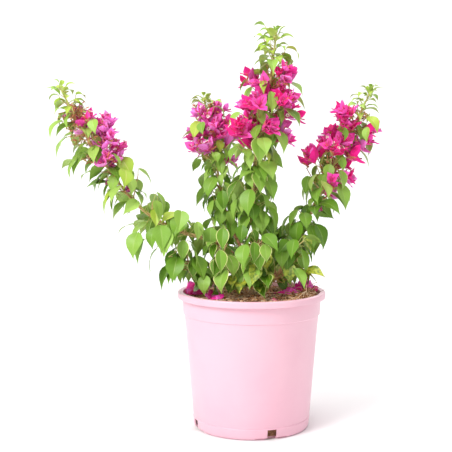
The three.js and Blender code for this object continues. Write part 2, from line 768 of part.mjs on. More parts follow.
function addPiece(name, solid, material) {
  const mesh = new THREE.Mesh(geometryOf(solid), material);
  mesh.name = name;
  bush.add(mesh);
}

addPiece('pot', potSolid(), MATERIALS.pot);
addPiece('potting_mix', soilSolid(), MATERIALS.soil);
addPiece('trunk', trunkSolid(0), MATERIALS.bark);

// Each limb is cut clear of the trunk and of the limbs made before it
const cutters = [trunkSolid(GAP)];

function clearOf(solid) {
  return cutters.reduce((rest, cutter) => rest.subtract(cutter), solid);
}

for (const name of BOUGHS) {
  const arm = ARMS[name];
  const mass = MASSES.find((one) => one.arm === name);
  const from = name === 'tall' ? TRUNK_LENGTH + FORK_OVERLAP + GAP : 0;
  addPiece(`${name}_bough`, clearOf(stretchSolid(arm, from, mass.from - GAP, 0, LIMB_SIDES)), MATERIALS.bark);
  cutters.push(stretchSolid(arm, from, mass.from - GAP / 2, GAP, LIMB_SIDES));
}

for (const mass of MASSES) {
  const arm = ARMS[mass.arm];
  const isLow = mass.arm.startsWith('low_');
  const from = isLow ? 0 : mass.from;
  const stem = stretchSolid(arm, from, mass.to - GAP, 0, STEM_SIDES);
  const grown = growMass(mass);
  let solid = isLow ? clearOf(stem) : stem;
  for (const twig of grown.twigs) {
    solid = join(solid, twigGeometry(twig.root, twig.tip, TWIG_RADIUS, TWIG_RADIUS * 0.7));
  }
  for (const pose of grown.leaves) {
    solid = join(solid, leafGeometry(pose));
  }
  for (const pose of grown.blooms) {
    solid = join(solid, bloomGeometry(pose));
  }
  const flowers = grown.blooms.length > 0;
  addPiece(mass.name, solid, flowers ? MATERIALS.flowers : MATERIALS.leaves);
  if (isLow) {
    cutters.push(stretchSolid(arm, 0, mass.to, GAP, STEM_SIDES));
  }
}

export default bush;
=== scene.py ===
# %% [markdown]
# # A bougainvillea bush in its nursery pot
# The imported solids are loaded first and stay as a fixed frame: every finished piece is placed in
# their coordinates, in metres, with +Z up and -Y towards the viewer. Plain sizes below are in
# millimetres, as on a maker's drawing, and MM turns them into metres.

# %% Load the frame
import math

import bmesh
import bpy
import numpy as np
from mathutils import Matrix, Vector, noise


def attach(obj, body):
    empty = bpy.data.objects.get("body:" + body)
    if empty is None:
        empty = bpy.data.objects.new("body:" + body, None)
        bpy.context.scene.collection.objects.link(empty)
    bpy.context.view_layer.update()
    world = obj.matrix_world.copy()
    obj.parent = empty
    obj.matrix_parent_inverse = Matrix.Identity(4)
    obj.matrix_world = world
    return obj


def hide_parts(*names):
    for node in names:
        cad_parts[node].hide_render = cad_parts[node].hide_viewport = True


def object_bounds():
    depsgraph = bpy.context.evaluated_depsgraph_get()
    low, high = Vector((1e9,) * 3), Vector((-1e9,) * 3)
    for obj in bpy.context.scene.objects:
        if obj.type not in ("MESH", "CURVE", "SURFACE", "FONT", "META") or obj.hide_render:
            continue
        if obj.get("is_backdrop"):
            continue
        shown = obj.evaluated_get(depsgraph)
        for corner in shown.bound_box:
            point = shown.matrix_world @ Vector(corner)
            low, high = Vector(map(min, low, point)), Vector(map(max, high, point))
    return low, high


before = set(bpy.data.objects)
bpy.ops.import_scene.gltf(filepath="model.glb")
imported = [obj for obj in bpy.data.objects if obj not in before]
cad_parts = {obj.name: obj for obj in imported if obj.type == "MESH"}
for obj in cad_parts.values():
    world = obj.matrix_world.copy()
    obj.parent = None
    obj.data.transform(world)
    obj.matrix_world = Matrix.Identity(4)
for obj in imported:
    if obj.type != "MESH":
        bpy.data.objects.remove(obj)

MM = 0.001
cad_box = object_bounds()
print("nodes:", len(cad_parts), "box:", [[round(v, 3) for v in corner] for corner in cad_box])

# %% [markdown]
# ## The camera
# The horizon, the two ellipses of the pot's rim and the pot's taper fix where the viewer stood: about
# 1.4 m away, above the middle of the plant, looking slightly down. The long lens keeps the
# upright shoots upright. A scene's camera is only an object with camera data, made current.

# %% Camera
FRAME_PIXELS = 452
FOCAL_PIXELS = 1000.0
SENSOR_WIDTH = 36.0
VIEWER, LOOKING_DOWN = (-0.0364, -1.412, 0.414), 0.09
camera_data = bpy.data.cameras.new("viewpoint")
camera_data.sensor_width = SENSOR_WIDTH
camera_data.lens = SENSOR_WIDTH * FOCAL_PIXELS / FRAME_PIXELS
viewpoint = bpy.data.objects.new("viewpoint", camera_data)
viewpoint.location = VIEWER
viewpoint.rotation_euler = (math.pi / 2 - LOOKING_DOWN, 0.0, 0.0)
bpy.context.scene.collection.objects.link(viewpoint)
bpy.context.scene.camera = viewpoint
bpy.context.scene.view_settings.view_transform = "Standard"
print("lens", round(camera_data.lens, 2), "mm")

# %% [markdown]
# ## Small helpers
# A plant is thousands of copies of a few shapes. Each shape is modelled once with bmesh operators and
# kept as arrays, so a copy is only a change of numbers, and all copies of one kind are joined into one
# mesh at the end. Thousands of separate objects would be slow and hard to export.

# %% Shapes kept as arrays
UP = np.array([0.0, 0.0, 1.0])


def unit(vector):
    return vector / np.linalg.norm(vector)


def turned(vector, axis, angle):
    along = axis * np.dot(axis, vector)
    return along + (vector - along) * math.cos(angle) + np.cross(axis, vector) * math.sin(angle)


def sideways(ahead, angle):
    """A way straight out of a stem that runs ahead, turned round the stem by an angle."""
    return turned(unit(np.cross(ahead, [0.0, 1.0, 0.0])), ahead, angle)


def linear(red, green, blue):
    """A colour given as it looks on a screen, 0 to 255, as the linear colour that a shader works in."""
    shares = [value / 255 for value in (red, green, blue)]
    return tuple(s / 12.92 if s <= 0.04045 else ((s + 0.055) / 1.055) ** 2.4 for s in shares) + (1.0,)


class Shape:
    """A small modelled form: its places, faces, UVs and material slots as arrays."""

    def __init__(self, bm):
        bm.verts.index_update()
        layer = bm.loops.layers.uv.active
        self.places = np.array([v.co[:] for v in bm.verts])
        self.sizes = np.array([len(f.verts) for f in bm.faces])
        self.corners = np.array([v.index for f in bm.faces for v in f.verts])
        self.slots = np.array([f.material_index for f in bm.faces])
        self.uvs = np.zeros((len(self.corners), 2))
        if layer:
            self.uvs = np.array([loop[layer].uv[:] for f in bm.faces for loop in f.loops])
        bm.free()

    def put(self, origin, x_axis, y_axis, z_axis, size=1.0):
        """The places of a copy with its own axes, in millimetres."""
        return origin + size * (self.places @ np.array([x_axis, y_axis, z_axis]))


class Joined:
    """Collects copies of shapes and joins them into one object."""

    def __init__(self, name, materials):
        self.name, self.materials = name, materials
        self.places, self.sizes, self.corners, self.slots, self.uvs = [], [], [], [], []
        self.count = 0

    def add(self, shape, places, slots=(0,)):
        self.places.append(places)
        self.sizes.append(shape.sizes)
        self.corners.append(shape.corners + self.count)
        self.slots.append(np.array(slots)[np.minimum(shape.slots, len(slots) - 1)])
        self.uvs.append(shape.uvs)
        self.count += len(places)

    def add_rod(self, rod, line, radius_at, slot):
        self.add(rod, bent(rod, line, radius_at), (int(slot),))

    def finish(self, record_slot, *nodes, smooth=True):
        if not self.places:
            return None
        mesh = bpy.data.meshes.new(self.name)
        places = np.concatenate(self.places) * MM
        sizes, corners = np.concatenate(self.sizes), np.concatenate(self.corners)
        mesh.vertices.add(len(places))
        mesh.vertices.foreach_set("co", places.ravel())
        mesh.loops.add(len(corners))
        mesh.loops.foreach_set("vertex_index", corners.astype(np.int32))
        mesh.polygons.add(len(sizes))
        starts = np.concatenate([[0], np.cumsum(sizes)[:-1]])
        mesh.polygons.foreach_set("loop_start", starts.astype(np.int32))
        mesh.polygons.foreach_set("material_index", np.concatenate(self.slots).astype(np.int32))
        mesh.polygons.foreach_set("use_smooth", np.full(len(sizes), smooth))
        mesh.uv_layers.new(name="blade").data.foreach_set("uv", np.concatenate(self.uvs).ravel())
        mesh.update(calc_edges=True)
        mesh.validate()
        for material in self.materials:
            mesh.materials.append(material)
        return place_piece(bpy.data.objects.new(self.name, mesh), record_slot, *nodes)


def place_piece(piece, record_slot, *nodes):
    """Links a finished piece, lets it ride with the plant and hides the solids that it replaces. Its
    record_slot is not used.
    """
    bpy.context.scene.collection.objects.link(piece)
    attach(piece, "root")
    if nodes:
        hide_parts(*nodes)
    print(f"{piece.name}: {len(piece.data.polygons)} faces")
    return piece


def piece_from(bm, name, materials, record_slot, *nodes, smooth=True):
    """Turns a bmesh modelled in millimetres into a finished piece."""
    bmesh.ops.scale(bm, vec=(MM, MM, MM), verts=bm.verts)
    mesh = bpy.data.meshes.new(name)
    bm.to_mesh(mesh)
    bm.free()
    mesh.polygons.foreach_set("use_smooth", np.full(len(mesh.polygons), smooth))
    for material in materials:
        mesh.materials.append(material)
    return place_piece(bpy.data.objects.new(name, mesh), record_slot, *nodes)

# %% [markdown]
# ## Effects that several finishes share
# Real surfaces are never one flat colour. Two effects come back on many of them, so each is a node
# group that is built once: mottling, a soft wandering between two colours with a matching height, and
# veins, which follow the blade's own UV map so that they bend with every leaf.

# %% Node helpers and shared groups
def add_node(tree, kind, inputs=None, **settings):
    made = tree.nodes.new(kind)
    for key, value in settings.items():
        setattr(made, key, value)
    for key, value in (inputs or {}).items():
        if isinstance(value, bpy.types.NodeSocket):
            tree.links.new(value, made.inputs[key])
        else:
            made.inputs[key].default_value = value
    return made


def new_group(name, inputs, outputs):
    tree = bpy.data.node_groups.new(name, "ShaderNodeTree")
    for title, kind in inputs:
        tree.interface.new_socket(title, in_out="INPUT", socket_type="NodeSocket" + kind)
    for title, kind in outputs:
        tree.interface.new_socket(title, in_out="OUTPUT", socket_type="NodeSocket" + kind)
    return tree, tree.nodes.new("NodeGroupInput").outputs, tree.nodes.new("NodeGroupOutput").inputs


def blend_colours(tree, share, one, two):
    mixer = add_node(tree, "ShaderNodeMix", {"Factor": share}, data_type="RGBA")
    for socket, value in ((mixer.inputs[6], one), (mixer.inputs[7], two)):
        if isinstance(value, bpy.types.NodeSocket):
            tree.links.new(value, socket)
        else:
            socket.default_value = value
    return mixer.outputs[2]


def ramp(tree, value, low, high):
    """0 below low, 1 above high, and smooth between."""
    return add_node(tree, "ShaderNodeMapRange", {"Value": value, "From Min": low, "From Max": high},
                    interpolation_type="SMOOTHSTEP").outputs["Result"]


def calculate(tree, operation, one, two=0.0):
    return add_node(tree, "ShaderNodeMath", {0: one, 1: two}, operation=operation).outputs[0]


mottling, given, put = new_group("mottling", [("Plain", "Color"), ("Deep", "Color"), ("Scale", "Float")],
                                 [("Color", "Color"), ("Height", "Float")])
places = add_node(mottling, "ShaderNodeTexCoord").outputs["Object"]
cloud = add_node(mottling, "ShaderNodeTexNoise", {"Vector": places, "Scale": given["Scale"], "Detail": 5.0,
                                                  "Roughness": 0.6}).outputs["Fac"]
mottling.links.new(blend_colours(mottling, ramp(mottling, cloud, 0.35, 0.68), given["Plain"], given["Deep"]),
                   put["Color"])
mottling.links.new(cloud, put["Height"])

veins, given, put = new_group("veins", [("Blade", "Color"), ("Vein", "Color"), ("Count", "Float")],
                              [("Color", "Color"), ("Height", "Float")])
blade_uv = add_node(veins, "ShaderNodeUVMap", uv_map="blade").outputs[0]
blade_map = add_node(veins, "ShaderNodeSeparateXYZ", {0: blade_uv})
across = calculate(veins, "ABSOLUTE", calculate(veins, "SUBTRACT", blade_map.outputs["X"], 0.5))
swept = calculate(veins, "SUBTRACT", blade_map.outputs["Y"], calculate(veins, "MULTIPLY", across, 0.55))
wave = calculate(veins, "FRACT", calculate(veins, "MULTIPLY", swept, given["Count"]))
side_vein = ramp(veins, calculate(veins, "ABSOLUTE", calculate(veins, "SUBTRACT", wave, 0.5)), 0.36, 0.5)
faded = calculate(veins, "MULTIPLY", side_vein, calculate(veins, "SUBTRACT", 0.55, across))
middle = calculate(veins, "SUBTRACT", 1.0, ramp(veins, across, 0.02, 0.07))
vein = calculate(veins, "MAXIMUM", faded, middle)
veins.links.new(blend_colours(veins, vein, given["Blade"], given["Vein"]), put["Color"])
veins.links.new(calculate(veins, "SUBTRACT", 1.0, vein), put["Height"])
print("shared groups:", [group.name for group in (mottling, veins)])

# %% [markdown]
# ## Finishes
# The pot is thin satin plastic with a faint, wide mottling. Leaves have a plain colour by spray: fresh
# and pale on the young shoots, deep green low down, with paler veins and a slightly paler underside. The
# bracts are papery: rough, with a soft pink sheen. Most kinds have two close tones, dealt out leaf by
# leaf and bract by bract, because no two of a bush match.

# %% Materials
def new_material(name, colour, bump=0.3, distance=0.2, **fixed):
    """colour is a call that builds the nodes; fixed values go on the shader's own sockets."""
    material = bpy.data.materials.new(name)
    material.use_nodes = True
    tree = material.node_tree
    shader = tree.nodes["Principled BSDF"]
    for key, value in fixed.items():
        shader.inputs[key.replace("_", " ")].default_value = value
    base, relief = colour(tree)
    tree.links.new(base, shader.inputs["Base Color"])
    raised = add_node(tree, "ShaderNodeBump",
                      {"Height": relief, "Strength": bump, "Distance": distance * MM})
    tree.links.new(raised.outputs["Normal"], shader.inputs["Normal"])
    material.diffuse_color = tuple(shader.inputs["Base Color"].default_value)
    return material


def use_group(tree, group, colours, numbers):
    """Puts a shared group into a material, with its colours and numbers set."""
    used = add_node(tree, "ShaderNodeGroup", node_tree=group)
    for key, value in colours.items():
        used.inputs[key].default_value = linear(*value)
    for key, value in numbers.items():
        used.inputs[key].default_value = value
    return used.outputs["Color"], used.outputs["Height"]


def mottled(plain, deep, scale):
    return lambda tree: use_group(tree, mottling, {"Plain": plain, "Deep": deep}, {"Scale": scale})


def blade_colour(blade, vein, under, count):
    """A blade with veins, and another colour below."""
    def build(tree):
        upper, relief = use_group(tree, veins, {"Blade": blade, "Vein": vein}, {"Count": count})
        back = add_node(tree, "ShaderNodeNewGeometry").outputs["Backfacing"]
        return blend_colours(tree, back, upper, linear(*under)), relief
    return build


def mottled_finish(name, plain, deep, scale, bump, roughness, **more):
    return new_material(name, mottled(plain, deep, scale), bump=bump, Roughness=roughness, **more)


def veined_finishes(name, looks, count, **settings):
    """One finish for each look: the colour of the blade, of its veins and of its underside."""
    return [new_material(f"{name}_{i}", blade_colour(*look, count), **settings)
            for i, look in enumerate(looks)]


pot_plastic = mottled_finish("pink_pot_plastic", (239, 191, 206), (236, 184, 201), 9.0, 0.05, 0.36,
                             Coat_Weight=0.1, Coat_Roughness=0.3)
mix_brown = mottled_finish("damp_mix", (156, 108, 74), (84, 54, 36), 160.0, 0.7, 0.95, distance=1.2)
chip_dark = mottled_finish("bark_chips", (176, 122, 84), (112, 72, 46), 300.0, 0.5, 0.9)
chip_tan = mottled_finish("coir_fibres", (240, 190, 138), (204, 148, 100), 260.0, 0.4, 0.9)
chip_pale = mottled_finish("pale_fibres", (252, 230, 200), (236, 200, 158), 260.0, 0.4, 0.9)
bark = mottled_finish("brown_bark", (196, 150, 108), (138, 94, 64), 220.0, 0.6, 0.8, distance=0.5)
young_wood = mottled_finish("tan_stem", (222, 190, 134), (190, 148, 96), 160.0, 0.3, 0.65)
green_stem = mottled_finish("green_stem", (200, 204, 120), (190, 184, 104), 140.0, 0.2, 0.55)
leaf_rib = mottled_finish("leaf_rib", (150, 180, 92), (136, 168, 80), 120.0, 0.1, 0.5)
young_rib = mottled_finish("young_leaf_rib", (196, 196, 110), (196, 176, 110), 120.0, 0.1, 0.45)
flower_tube = mottled_finish("flower_tube", (226, 84, 146), (196, 70, 112), 200.0, 0.1, 0.6)
flower_star = mottled_finish("flower_star", (254, 250, 236), (246, 238, 206), 400.0, 0.1, 0.55)
bud_red = mottled_finish("reddish_bud", (222, 128, 104), (190, 136, 84), 240.0, 0.1, 0.6)

print("materials so far:", len(bpy.data.materials))

# %% [markdown]
# Leaves and bracts share one veined look: a colour for the blade, one for the veins and one for the
# underside. The yellow leaves near the mix are mottled instead.

# %% Finishes of leaves and bracts
LEAF_VEINS, BRACT_VEINS = 9.0, 7.0
LEAF_LOOKS = {
    "fresh": [((164, 198, 94), (172, 204, 104), (174, 204, 112)),
              ((150, 188, 80), (160, 196, 92), (164, 196, 100))],
    "mid": [((138, 178, 70), (150, 186, 82), (156, 188, 92)),
            ((122, 164, 56), (134, 174, 68), (142, 178, 80))],
    "deep": [((104, 148, 40), (118, 158, 52), (128, 162, 66)),
             ((86, 128, 24), (100, 140, 36), (112, 148, 50))],
    "young": [((176, 200, 76), (188, 206, 94), (184, 202, 98)),
              ((160, 190, 66), (174, 198, 84), (170, 196, 90))],
}
MARGIN_LOOK = ((222, 224, 148), (226, 226, 156), (212, 216, 146))
BLOTCHES = [((196, 200, 60), (88, 118, 30), 150.0), ((170, 184, 60), (70, 108, 28), 210.0)]
# The pale and deep looks are partly painted light: pale bracts stand in for lit bracts and deep ones for
# shaded bracts, beside the real spread of tone between bracts.
BRACT_LOOKS = {
    "bright": [((255, 112, 210), (255, 82, 192), (255, 102, 202)),
               ((255, 84, 192), (255, 60, 174), (255, 80, 186))],
    "deep": [((255, 52, 168), (252, 32, 148), (255, 50, 160)),
             ((255, 34, 152), (246, 24, 134), (252, 38, 146))],
    "pale": [((255, 168, 242), (255, 134, 224), (255, 152, 232)),
             ((255, 142, 236), (255, 110, 212), (255, 130, 222))],
    "faded": [((214, 160, 212), (180, 112, 166), (200, 140, 192)),
              ((190, 124, 184), (160, 92, 148), (174, 108, 168))],
}
leaf_finish = {kind: veined_finishes(kind + "_leaf", looks, LEAF_VEINS, bump=0.25, distance=0.3,
                                     Roughness=0.4, Specular_IOR_Level=0.32)
               for kind, looks in LEAF_LOOKS.items()}
leaf_finish["blotched"] = [mottled_finish(f"blotched_leaf_{i}", *look, 0.2, 0.45)
                           for i, look in enumerate(BLOTCHES)]
cream_margin = new_material("cream_leaf_margin", blade_colour(*MARGIN_LOOK, LEAF_VEINS), bump=0.2,
                            Roughness=0.5, Specular_IOR_Level=0.25)
bract_finish = {kind: veined_finishes(kind + "_bract", looks, BRACT_VEINS, bump=0.35, distance=0.4,
                                      Roughness=0.66, Specular_IOR_Level=0.25, Sheen_Weight=0.8,
                                      Sheen_Tint=linear(255, 110, 190))
                for kind, looks in BRACT_LOOKS.items()}
print("materials:", len(bpy.data.materials))

# %% [markdown]
# ## The pot
# A moulded nursery pot: one thin wall that tapers down, a short collar under a flat lip, and four drain
# holes on the bottom edge. The lip is hollow below, like a turned-down skirt, and a groove runs above
# the foot band. A profile of the whole wall, outside and inside, is spun once round the upright axis.
# Its corners are rounded in the profile itself, because soft edges are what makes plastic read as
# plastic. The holes are then cut with a Boolean.

# %% Pot profile and spin
BASE_RADIUS, BODY_TOP_RADIUS, BODY_TOP_HEIGHT = 81.9, 95.4, 162.0
FOOT_BAND_HEIGHT, FOOT_BAND_PROUD = 15.0, 0.5
GROOVE_RISE, GROOVE_DEPTH, GROOVE_END = 1, 0.5, 2.5
COLLAR_FOOT_RADIUS, COLLAR_TOP_RADIUS, COLLAR_STEP, COLLAR_DROP = 97.3, 98.8, 1.0, 2.0
RIM_HEIGHT, LIP_RADIUS, LIP_HEIGHT, LIP_ROUND = 194.2, 105.0, 8.6, 1.4
LIP_SKIRT, LIP_THICK = 2.0, 2.4
WALL, FLOOR, BASE_ROUND = 1.6, 4.2, 4.5
RIM_INSIDE = COLLAR_TOP_RADIUS - WALL - 1.0
POT_SEGMENTS = 160
WALL_SLOPE = (BODY_TOP_RADIUS - BASE_RADIUS) / BODY_TOP_HEIGHT


def outer_radius(height):
    return BASE_RADIUS + WALL_SLOPE * height


def rounded(profile):
    """Each corner is radius, height and how much of it is cut by a quarter turn of short steps."""
    points = []
    for i, (radius, height, cut) in enumerate(profile):
        if not cut:
            points.append((radius, height))
            continue
        corner = np.array([radius, height])
        before, after = np.array(profile[i - 1][:2]) - corner, np.array(profile[i + 1][:2]) - corner
        start, end = corner + unit(before) * cut, corner + unit(after) * cut
        for share in (0.0, 0.25, 0.5, 0.75, 1.0):
            back = 1 - share
            points.append(tuple(start * back ** 2 + corner * 2 * share * back + end * share ** 2))
    return points


def spun(profile, segments):
    bm = bmesh.new()
    verts = [bm.verts.new((radius, 0.0, height)) for radius, height in profile]
    edges = [bm.edges.new(pair) for pair in zip(verts, verts[1:])]
    bmesh.ops.spin(bm, geom=verts + edges, cent=(0, 0, 0), axis=(0, 0, 1), angle=2 * math.pi,
                   steps=segments, use_merge=True, use_duplicate=False)
    bmesh.ops.remove_doubles(bm, verts=bm.verts, dist=1e-3)
    bmesh.ops.recalc_face_normals(bm, faces=bm.faces)
    return bm


lip_foot = RIM_HEIGHT - LIP_HEIGHT
band_top, collar_foot = FOOT_BAND_HEIGHT, BODY_TOP_HEIGHT + COLLAR_STEP
pot_profile = [
    (0.0, 0.0, 0), (BASE_RADIUS, 0.0, BASE_ROUND),
    (outer_radius(band_top) + FOOT_BAND_PROUD, band_top, 0.4),
    (outer_radius(band_top + GROOVE_RISE) - GROOVE_DEPTH, band_top + GROOVE_RISE, 0),
    (outer_radius(band_top + GROOVE_END), band_top + GROOVE_END, 0),
    (BODY_TOP_RADIUS, BODY_TOP_HEIGHT, 0.6), (COLLAR_FOOT_RADIUS, collar_foot, 0.7),
    (COLLAR_TOP_RADIUS, RIM_HEIGHT - COLLAR_DROP, 0.8),
    (LIP_RADIUS - LIP_SKIRT, RIM_HEIGHT - LIP_THICK, 0.8), (LIP_RADIUS - LIP_SKIRT, lip_foot, 0.4),
    (LIP_RADIUS, lip_foot, 0.8), (LIP_RADIUS, RIM_HEIGHT, LIP_ROUND * 1.3),
    (COLLAR_TOP_RADIUS - WALL, RIM_HEIGHT, LIP_ROUND),
    (COLLAR_FOOT_RADIUS - WALL, collar_foot + WALL, 0),
    (BODY_TOP_RADIUS - WALL, BODY_TOP_HEIGHT + WALL, 0), (outer_radius(FLOOR) - WALL, FLOOR, 1.0),
    (0.0, FLOOR, 0),
]
pot_bm = spun(rounded(pot_profile), POT_SEGMENTS)
print("pot wall:", len(pot_bm.faces), "faces")

# %% [markdown]
# The four drain holes go through the corner between wall and floor, and a shallow gap on each side of
# them lifts the edge off the ground so that water can run away. Box cutters are set on the pot's edge
# and taken away with a Boolean modifier, which is then applied.

# %% Drain holes
FIRST_HOLE_ANGLE, HOLE_COUNT, HOLE_WIDTH, HOLE_HEIGHT, HOLE_DEPTH = -71.3, 4, 13.5, 14.5, 9.0
EDGE_GAP_HEIGHT, EDGE_GAP_WIDTH, EDGE_GAP_DEPTH = 3.0, 46.0, 12.0
HOLE_BOX = (2 * HOLE_DEPTH, HOLE_WIDTH, 2 * HOLE_HEIGHT)
GAP_BOX = (EDGE_GAP_DEPTH, EDGE_GAP_WIDTH, 2 * EDGE_GAP_HEIGHT)
SHARP_ANGLE = math.radians(34)
cutter_bm = bmesh.new()
for hole in range(HOLE_COUNT):
    turn = Matrix.Rotation(math.radians(FIRST_HOLE_ANGLE + 360 / HOLE_COUNT * hole), 4, "Z")
    for box in (HOLE_BOX, GAP_BOX):
        frame_of_box = turn @ Matrix.Translation((BASE_RADIUS, 0, 0)) @ Matrix.Diagonal((*box, 1))
        bmesh.ops.create_cube(cutter_bm, size=1.0, matrix=frame_of_box)
cutter_mesh = bpy.data.meshes.new("hole_cutter")
cutter_bm.to_mesh(cutter_mesh)
cutter_bm.free()
cutter = bpy.data.objects.new("hole_cutter", cutter_mesh)
wall_mesh = bpy.data.meshes.new("pot_wall")
pot_bm.to_mesh(wall_mesh)
pot_bm.free()
wall = bpy.data.objects.new("pot_wall", wall_mesh)
for helper in (wall, cutter):
    bpy.context.scene.collection.objects.link(helper)
cut = wall.modifiers.new("holes", "BOOLEAN")
cut.operation, cut.solver, cut.object, cut.use_self = "DIFFERENCE", "EXACT", cutter, True
bpy.context.view_layer.update()
holed = bmesh.new()
holed.from_mesh(wall.evaluated_get(bpy.context.evaluated_depsgraph_get()).to_mesh())
for helper in (wall, cutter):
    mesh_of = helper.data
    bpy.data.objects.remove(helper)
    bpy.data.meshes.remove(mesh_of)
for edge in holed.edges:
    edge.smooth = len(edge.link_faces) == 2 and edge.calc_face_angle(0.0) < SHARP_ANGLE
piece_from(holed, "pot_wall", [pot_plastic], "pot", "pot")

# %% [markdown]
# ## The potting mix
# The pot is filled with a coarse mix of coir and bark, heaped a little round the trunk. The heap is a
# spun disc with enough rings to carry lumps, moved up and down by noise. Loose chips and fibres lie on
# it, because a mix is a pile of separate bits and its edge should look ragged, not smooth.

# %% Heap of mix
TRUNK_FOOT = np.array([23.0, 2.0, 190.6])
HEAP_SPREAD, RIPPLE = 46.0, 0.8
MIX_EDGE_HEIGHT, MIX_HEAP = 185.5, 5.5
PILE, PILE_HEIGHT, PILE_SPREAD = (78.0, 24.0), 5.5, 34.0
WALL_GAP, FLOOR_GAP, FOOT_INSET = 0.6, 0.3, 2.0
MIX_RADIUS = COLLAR_FOOT_RADIUS - WALL - WALL_GAP
RINGS, MIX_SEGMENTS = 36, 120


def mix_height(x, y):
    from_trunk = math.hypot(x - TRUNK_FOOT[0], y - TRUNK_FOOT[1])
    heap = MIX_HEAP * math.exp(-((from_trunk / HEAP_SPREAD) ** 2))
    lumps = 1.5 * noise.noise(Vector((x, y, 0)) / 11) + 0.9 * noise.noise(Vector((x, y, 40)) / 3.5)
    piled = PILE_HEIGHT * math.exp(-((x - PILE[0]) ** 2 + (y - PILE[1]) ** 2) / PILE_SPREAD ** 2)
    return MIX_EDGE_HEIGHT + heap + piled + RIPPLE * math.sin(x / 9) * math.cos(y / 7 + 1) + lumps


mix_foot = FLOOR + FLOOR_GAP
mix_profile = [(0.0, mix_foot), (outer_radius(FLOOR) - WALL - FOOT_INSET, mix_foot),
               (BODY_TOP_RADIUS - WALL - WALL_GAP, BODY_TOP_HEIGHT)]
mix_profile += [(MIX_RADIUS * (1 - ring / RINGS), MIX_EDGE_HEIGHT) for ring in range(RINGS + 1)]
mix_bm = spun(mix_profile, MIX_SEGMENTS)
for vert in mix_bm.verts:
    if vert.co.z > MIX_EDGE_HEIGHT - 1:
        vert.co.z = mix_height(vert.co.x, vert.co.y)
piece_from(mix_bm, "mix_heap", [mix_brown], "potting_mix", "potting_mix")

# %% [markdown]
# Two shapes make the loose bits: a split chip, which is a flattened, bevelled box, and a fibre, which is
# a thin three-sided rod that is bent a little when it is laid. Their places come from a seeded draw.

# %% Chips and fibres
def rod_shape(sides, rings):
    """A round rod from z = 0 to 1 with radius 1, closed at both ends, to be bent along a line."""
    bm = bmesh.new()
    ring = bmesh.ops.create_circle(bm, segments=sides, radius=1.0, cap_ends=False)["verts"]
    start = [edge for edge in bm.edges]
    bmesh.ops.contextual_create(bm, geom=ring)
    for step in range(rings):
        made = bmesh.ops.extrude_edge_only(bm, edges=start)["geom"]
        ring = [item for item in made if isinstance(item, bmesh.types.BMVert)]
        start = [item for item in made if isinstance(item, bmesh.types.BMEdge)]
        bmesh.ops.translate(bm, verts=ring, vec=(0, 0, 1.0 / rings))
    bmesh.ops.contextual_create(bm, geom=ring)
    bmesh.ops.recalc_face_normals(bm, faces=bm.faces)
    return Shape(bm)


def bent(rod, line, radius_at):
    """The rod's places bent along a line, with its own radius law."""
    shares = rod.places[:, 2]
    stations = np.linspace(0, 1, len(line))
    centre = np.stack([np.interp(shares, stations, line[:, k]) for k in range(3)], axis=1)
    ways = np.gradient(line, axis=0)
    ways /= np.linalg.norm(ways, axis=1)[:, None]
    way = np.stack([np.interp(shares, stations, ways[:, k]) for k in range(3)], axis=1)
    guide = np.eye(3)[np.argmin(np.abs(ways[0]) + np.abs(ways[-1]))]
    one = np.cross(way, guide)
    one /= np.linalg.norm(one, axis=1)[:, None]
    two = np.cross(way, one)
    two /= np.linalg.norm(two, axis=1)[:, None]
    radius = radius_at(shares)
    radius = radius[:, None] if np.ndim(radius) else radius
    return centre - radius * (rod.places[:, :1] * one - rod.places[:, 1:2] * two)


chip_bm = bmesh.new()
bmesh.ops.create_cube(chip_bm, size=1.0, matrix=Matrix.Diagonal((1.0, 0.55, 0.22, 1.0)))
bmesh.ops.bevel(chip_bm, geom=chip_bm.edges[:], offset=0.06, affect="EDGES", segments=1, profile=0.5,
                material=-1)
for vert in chip_bm.verts:
    vert.co *= 1.0 + 0.25 * noise.noise(vert.co * 3.1)
chip = Shape(chip_bm)
fibre = rod_shape(3, 4)

draw = np.random.default_rng(41)
CHIPS, FIBRES = 1300, 1900
bits = Joined("chips_and_fibres", [chip_dark, chip_tan, chip_pale])


def on_mix(lift):
    radius = (MIX_RADIUS - 2) * math.sqrt(draw.random())
    angle = draw.uniform(0, 2 * math.pi)
    x, y = radius * math.cos(angle), radius * math.sin(angle)
    return np.array([x, y, mix_height(x, y) + lift])


for i in range(CHIPS):
    spin, tip = draw.uniform(0, 2 * math.pi), draw.normal(0, 0.35, 2)
    tilt = Matrix.Rotation(tip[0], 3, "X") @ Matrix.Rotation(tip[1], 3, "Y")
    turn = np.array(Matrix.Rotation(spin, 3, "Z") @ tilt)
    places = on_mix(0.5) + draw.uniform(2.5, 7.0) * (chip.places @ turn.T)
    bits.add(chip, places, (int(draw.choice([0, 1, 1, 2, 2])),))
for i in range(FIBRES):
    start, spin, reach = on_mix(0.6), draw.uniform(0, 2 * math.pi), draw.uniform(4, 15)
    way = np.array([math.cos(spin), math.sin(spin), draw.normal(0, 0.14)])
    side = np.array([-way[1], way[0], 0.0]) * draw.normal(0, 0.25)
    shares = np.linspace(0, 1, 5)[:, None]
    bow = shares * (1 - shares)
    line = start + reach * (shares * way + bow * side) + np.array([0, 0, 1.5]) * shares * (1 - shares)
    if np.hypot(line[:, 0], line[:, 1]).max() < MIX_RADIUS:
        thick = draw.uniform(0.3, 0.85)
        bits.add_rod(fibre, line, lambda shares: thick, draw.integers(0, 3))
bits.finish("potting_mix", smooth=False)

# %% [markdown]
# ## The arms
# Each shoot of the bush is one smooth curve through a few stations, thick at the foot and thin at the
# tip. A Catmull-Rom curve is used because it passes through its stations, so a station is simply a
# place that the shoot goes through. Walking along the curve by true length keeps the buds evenly spaced.

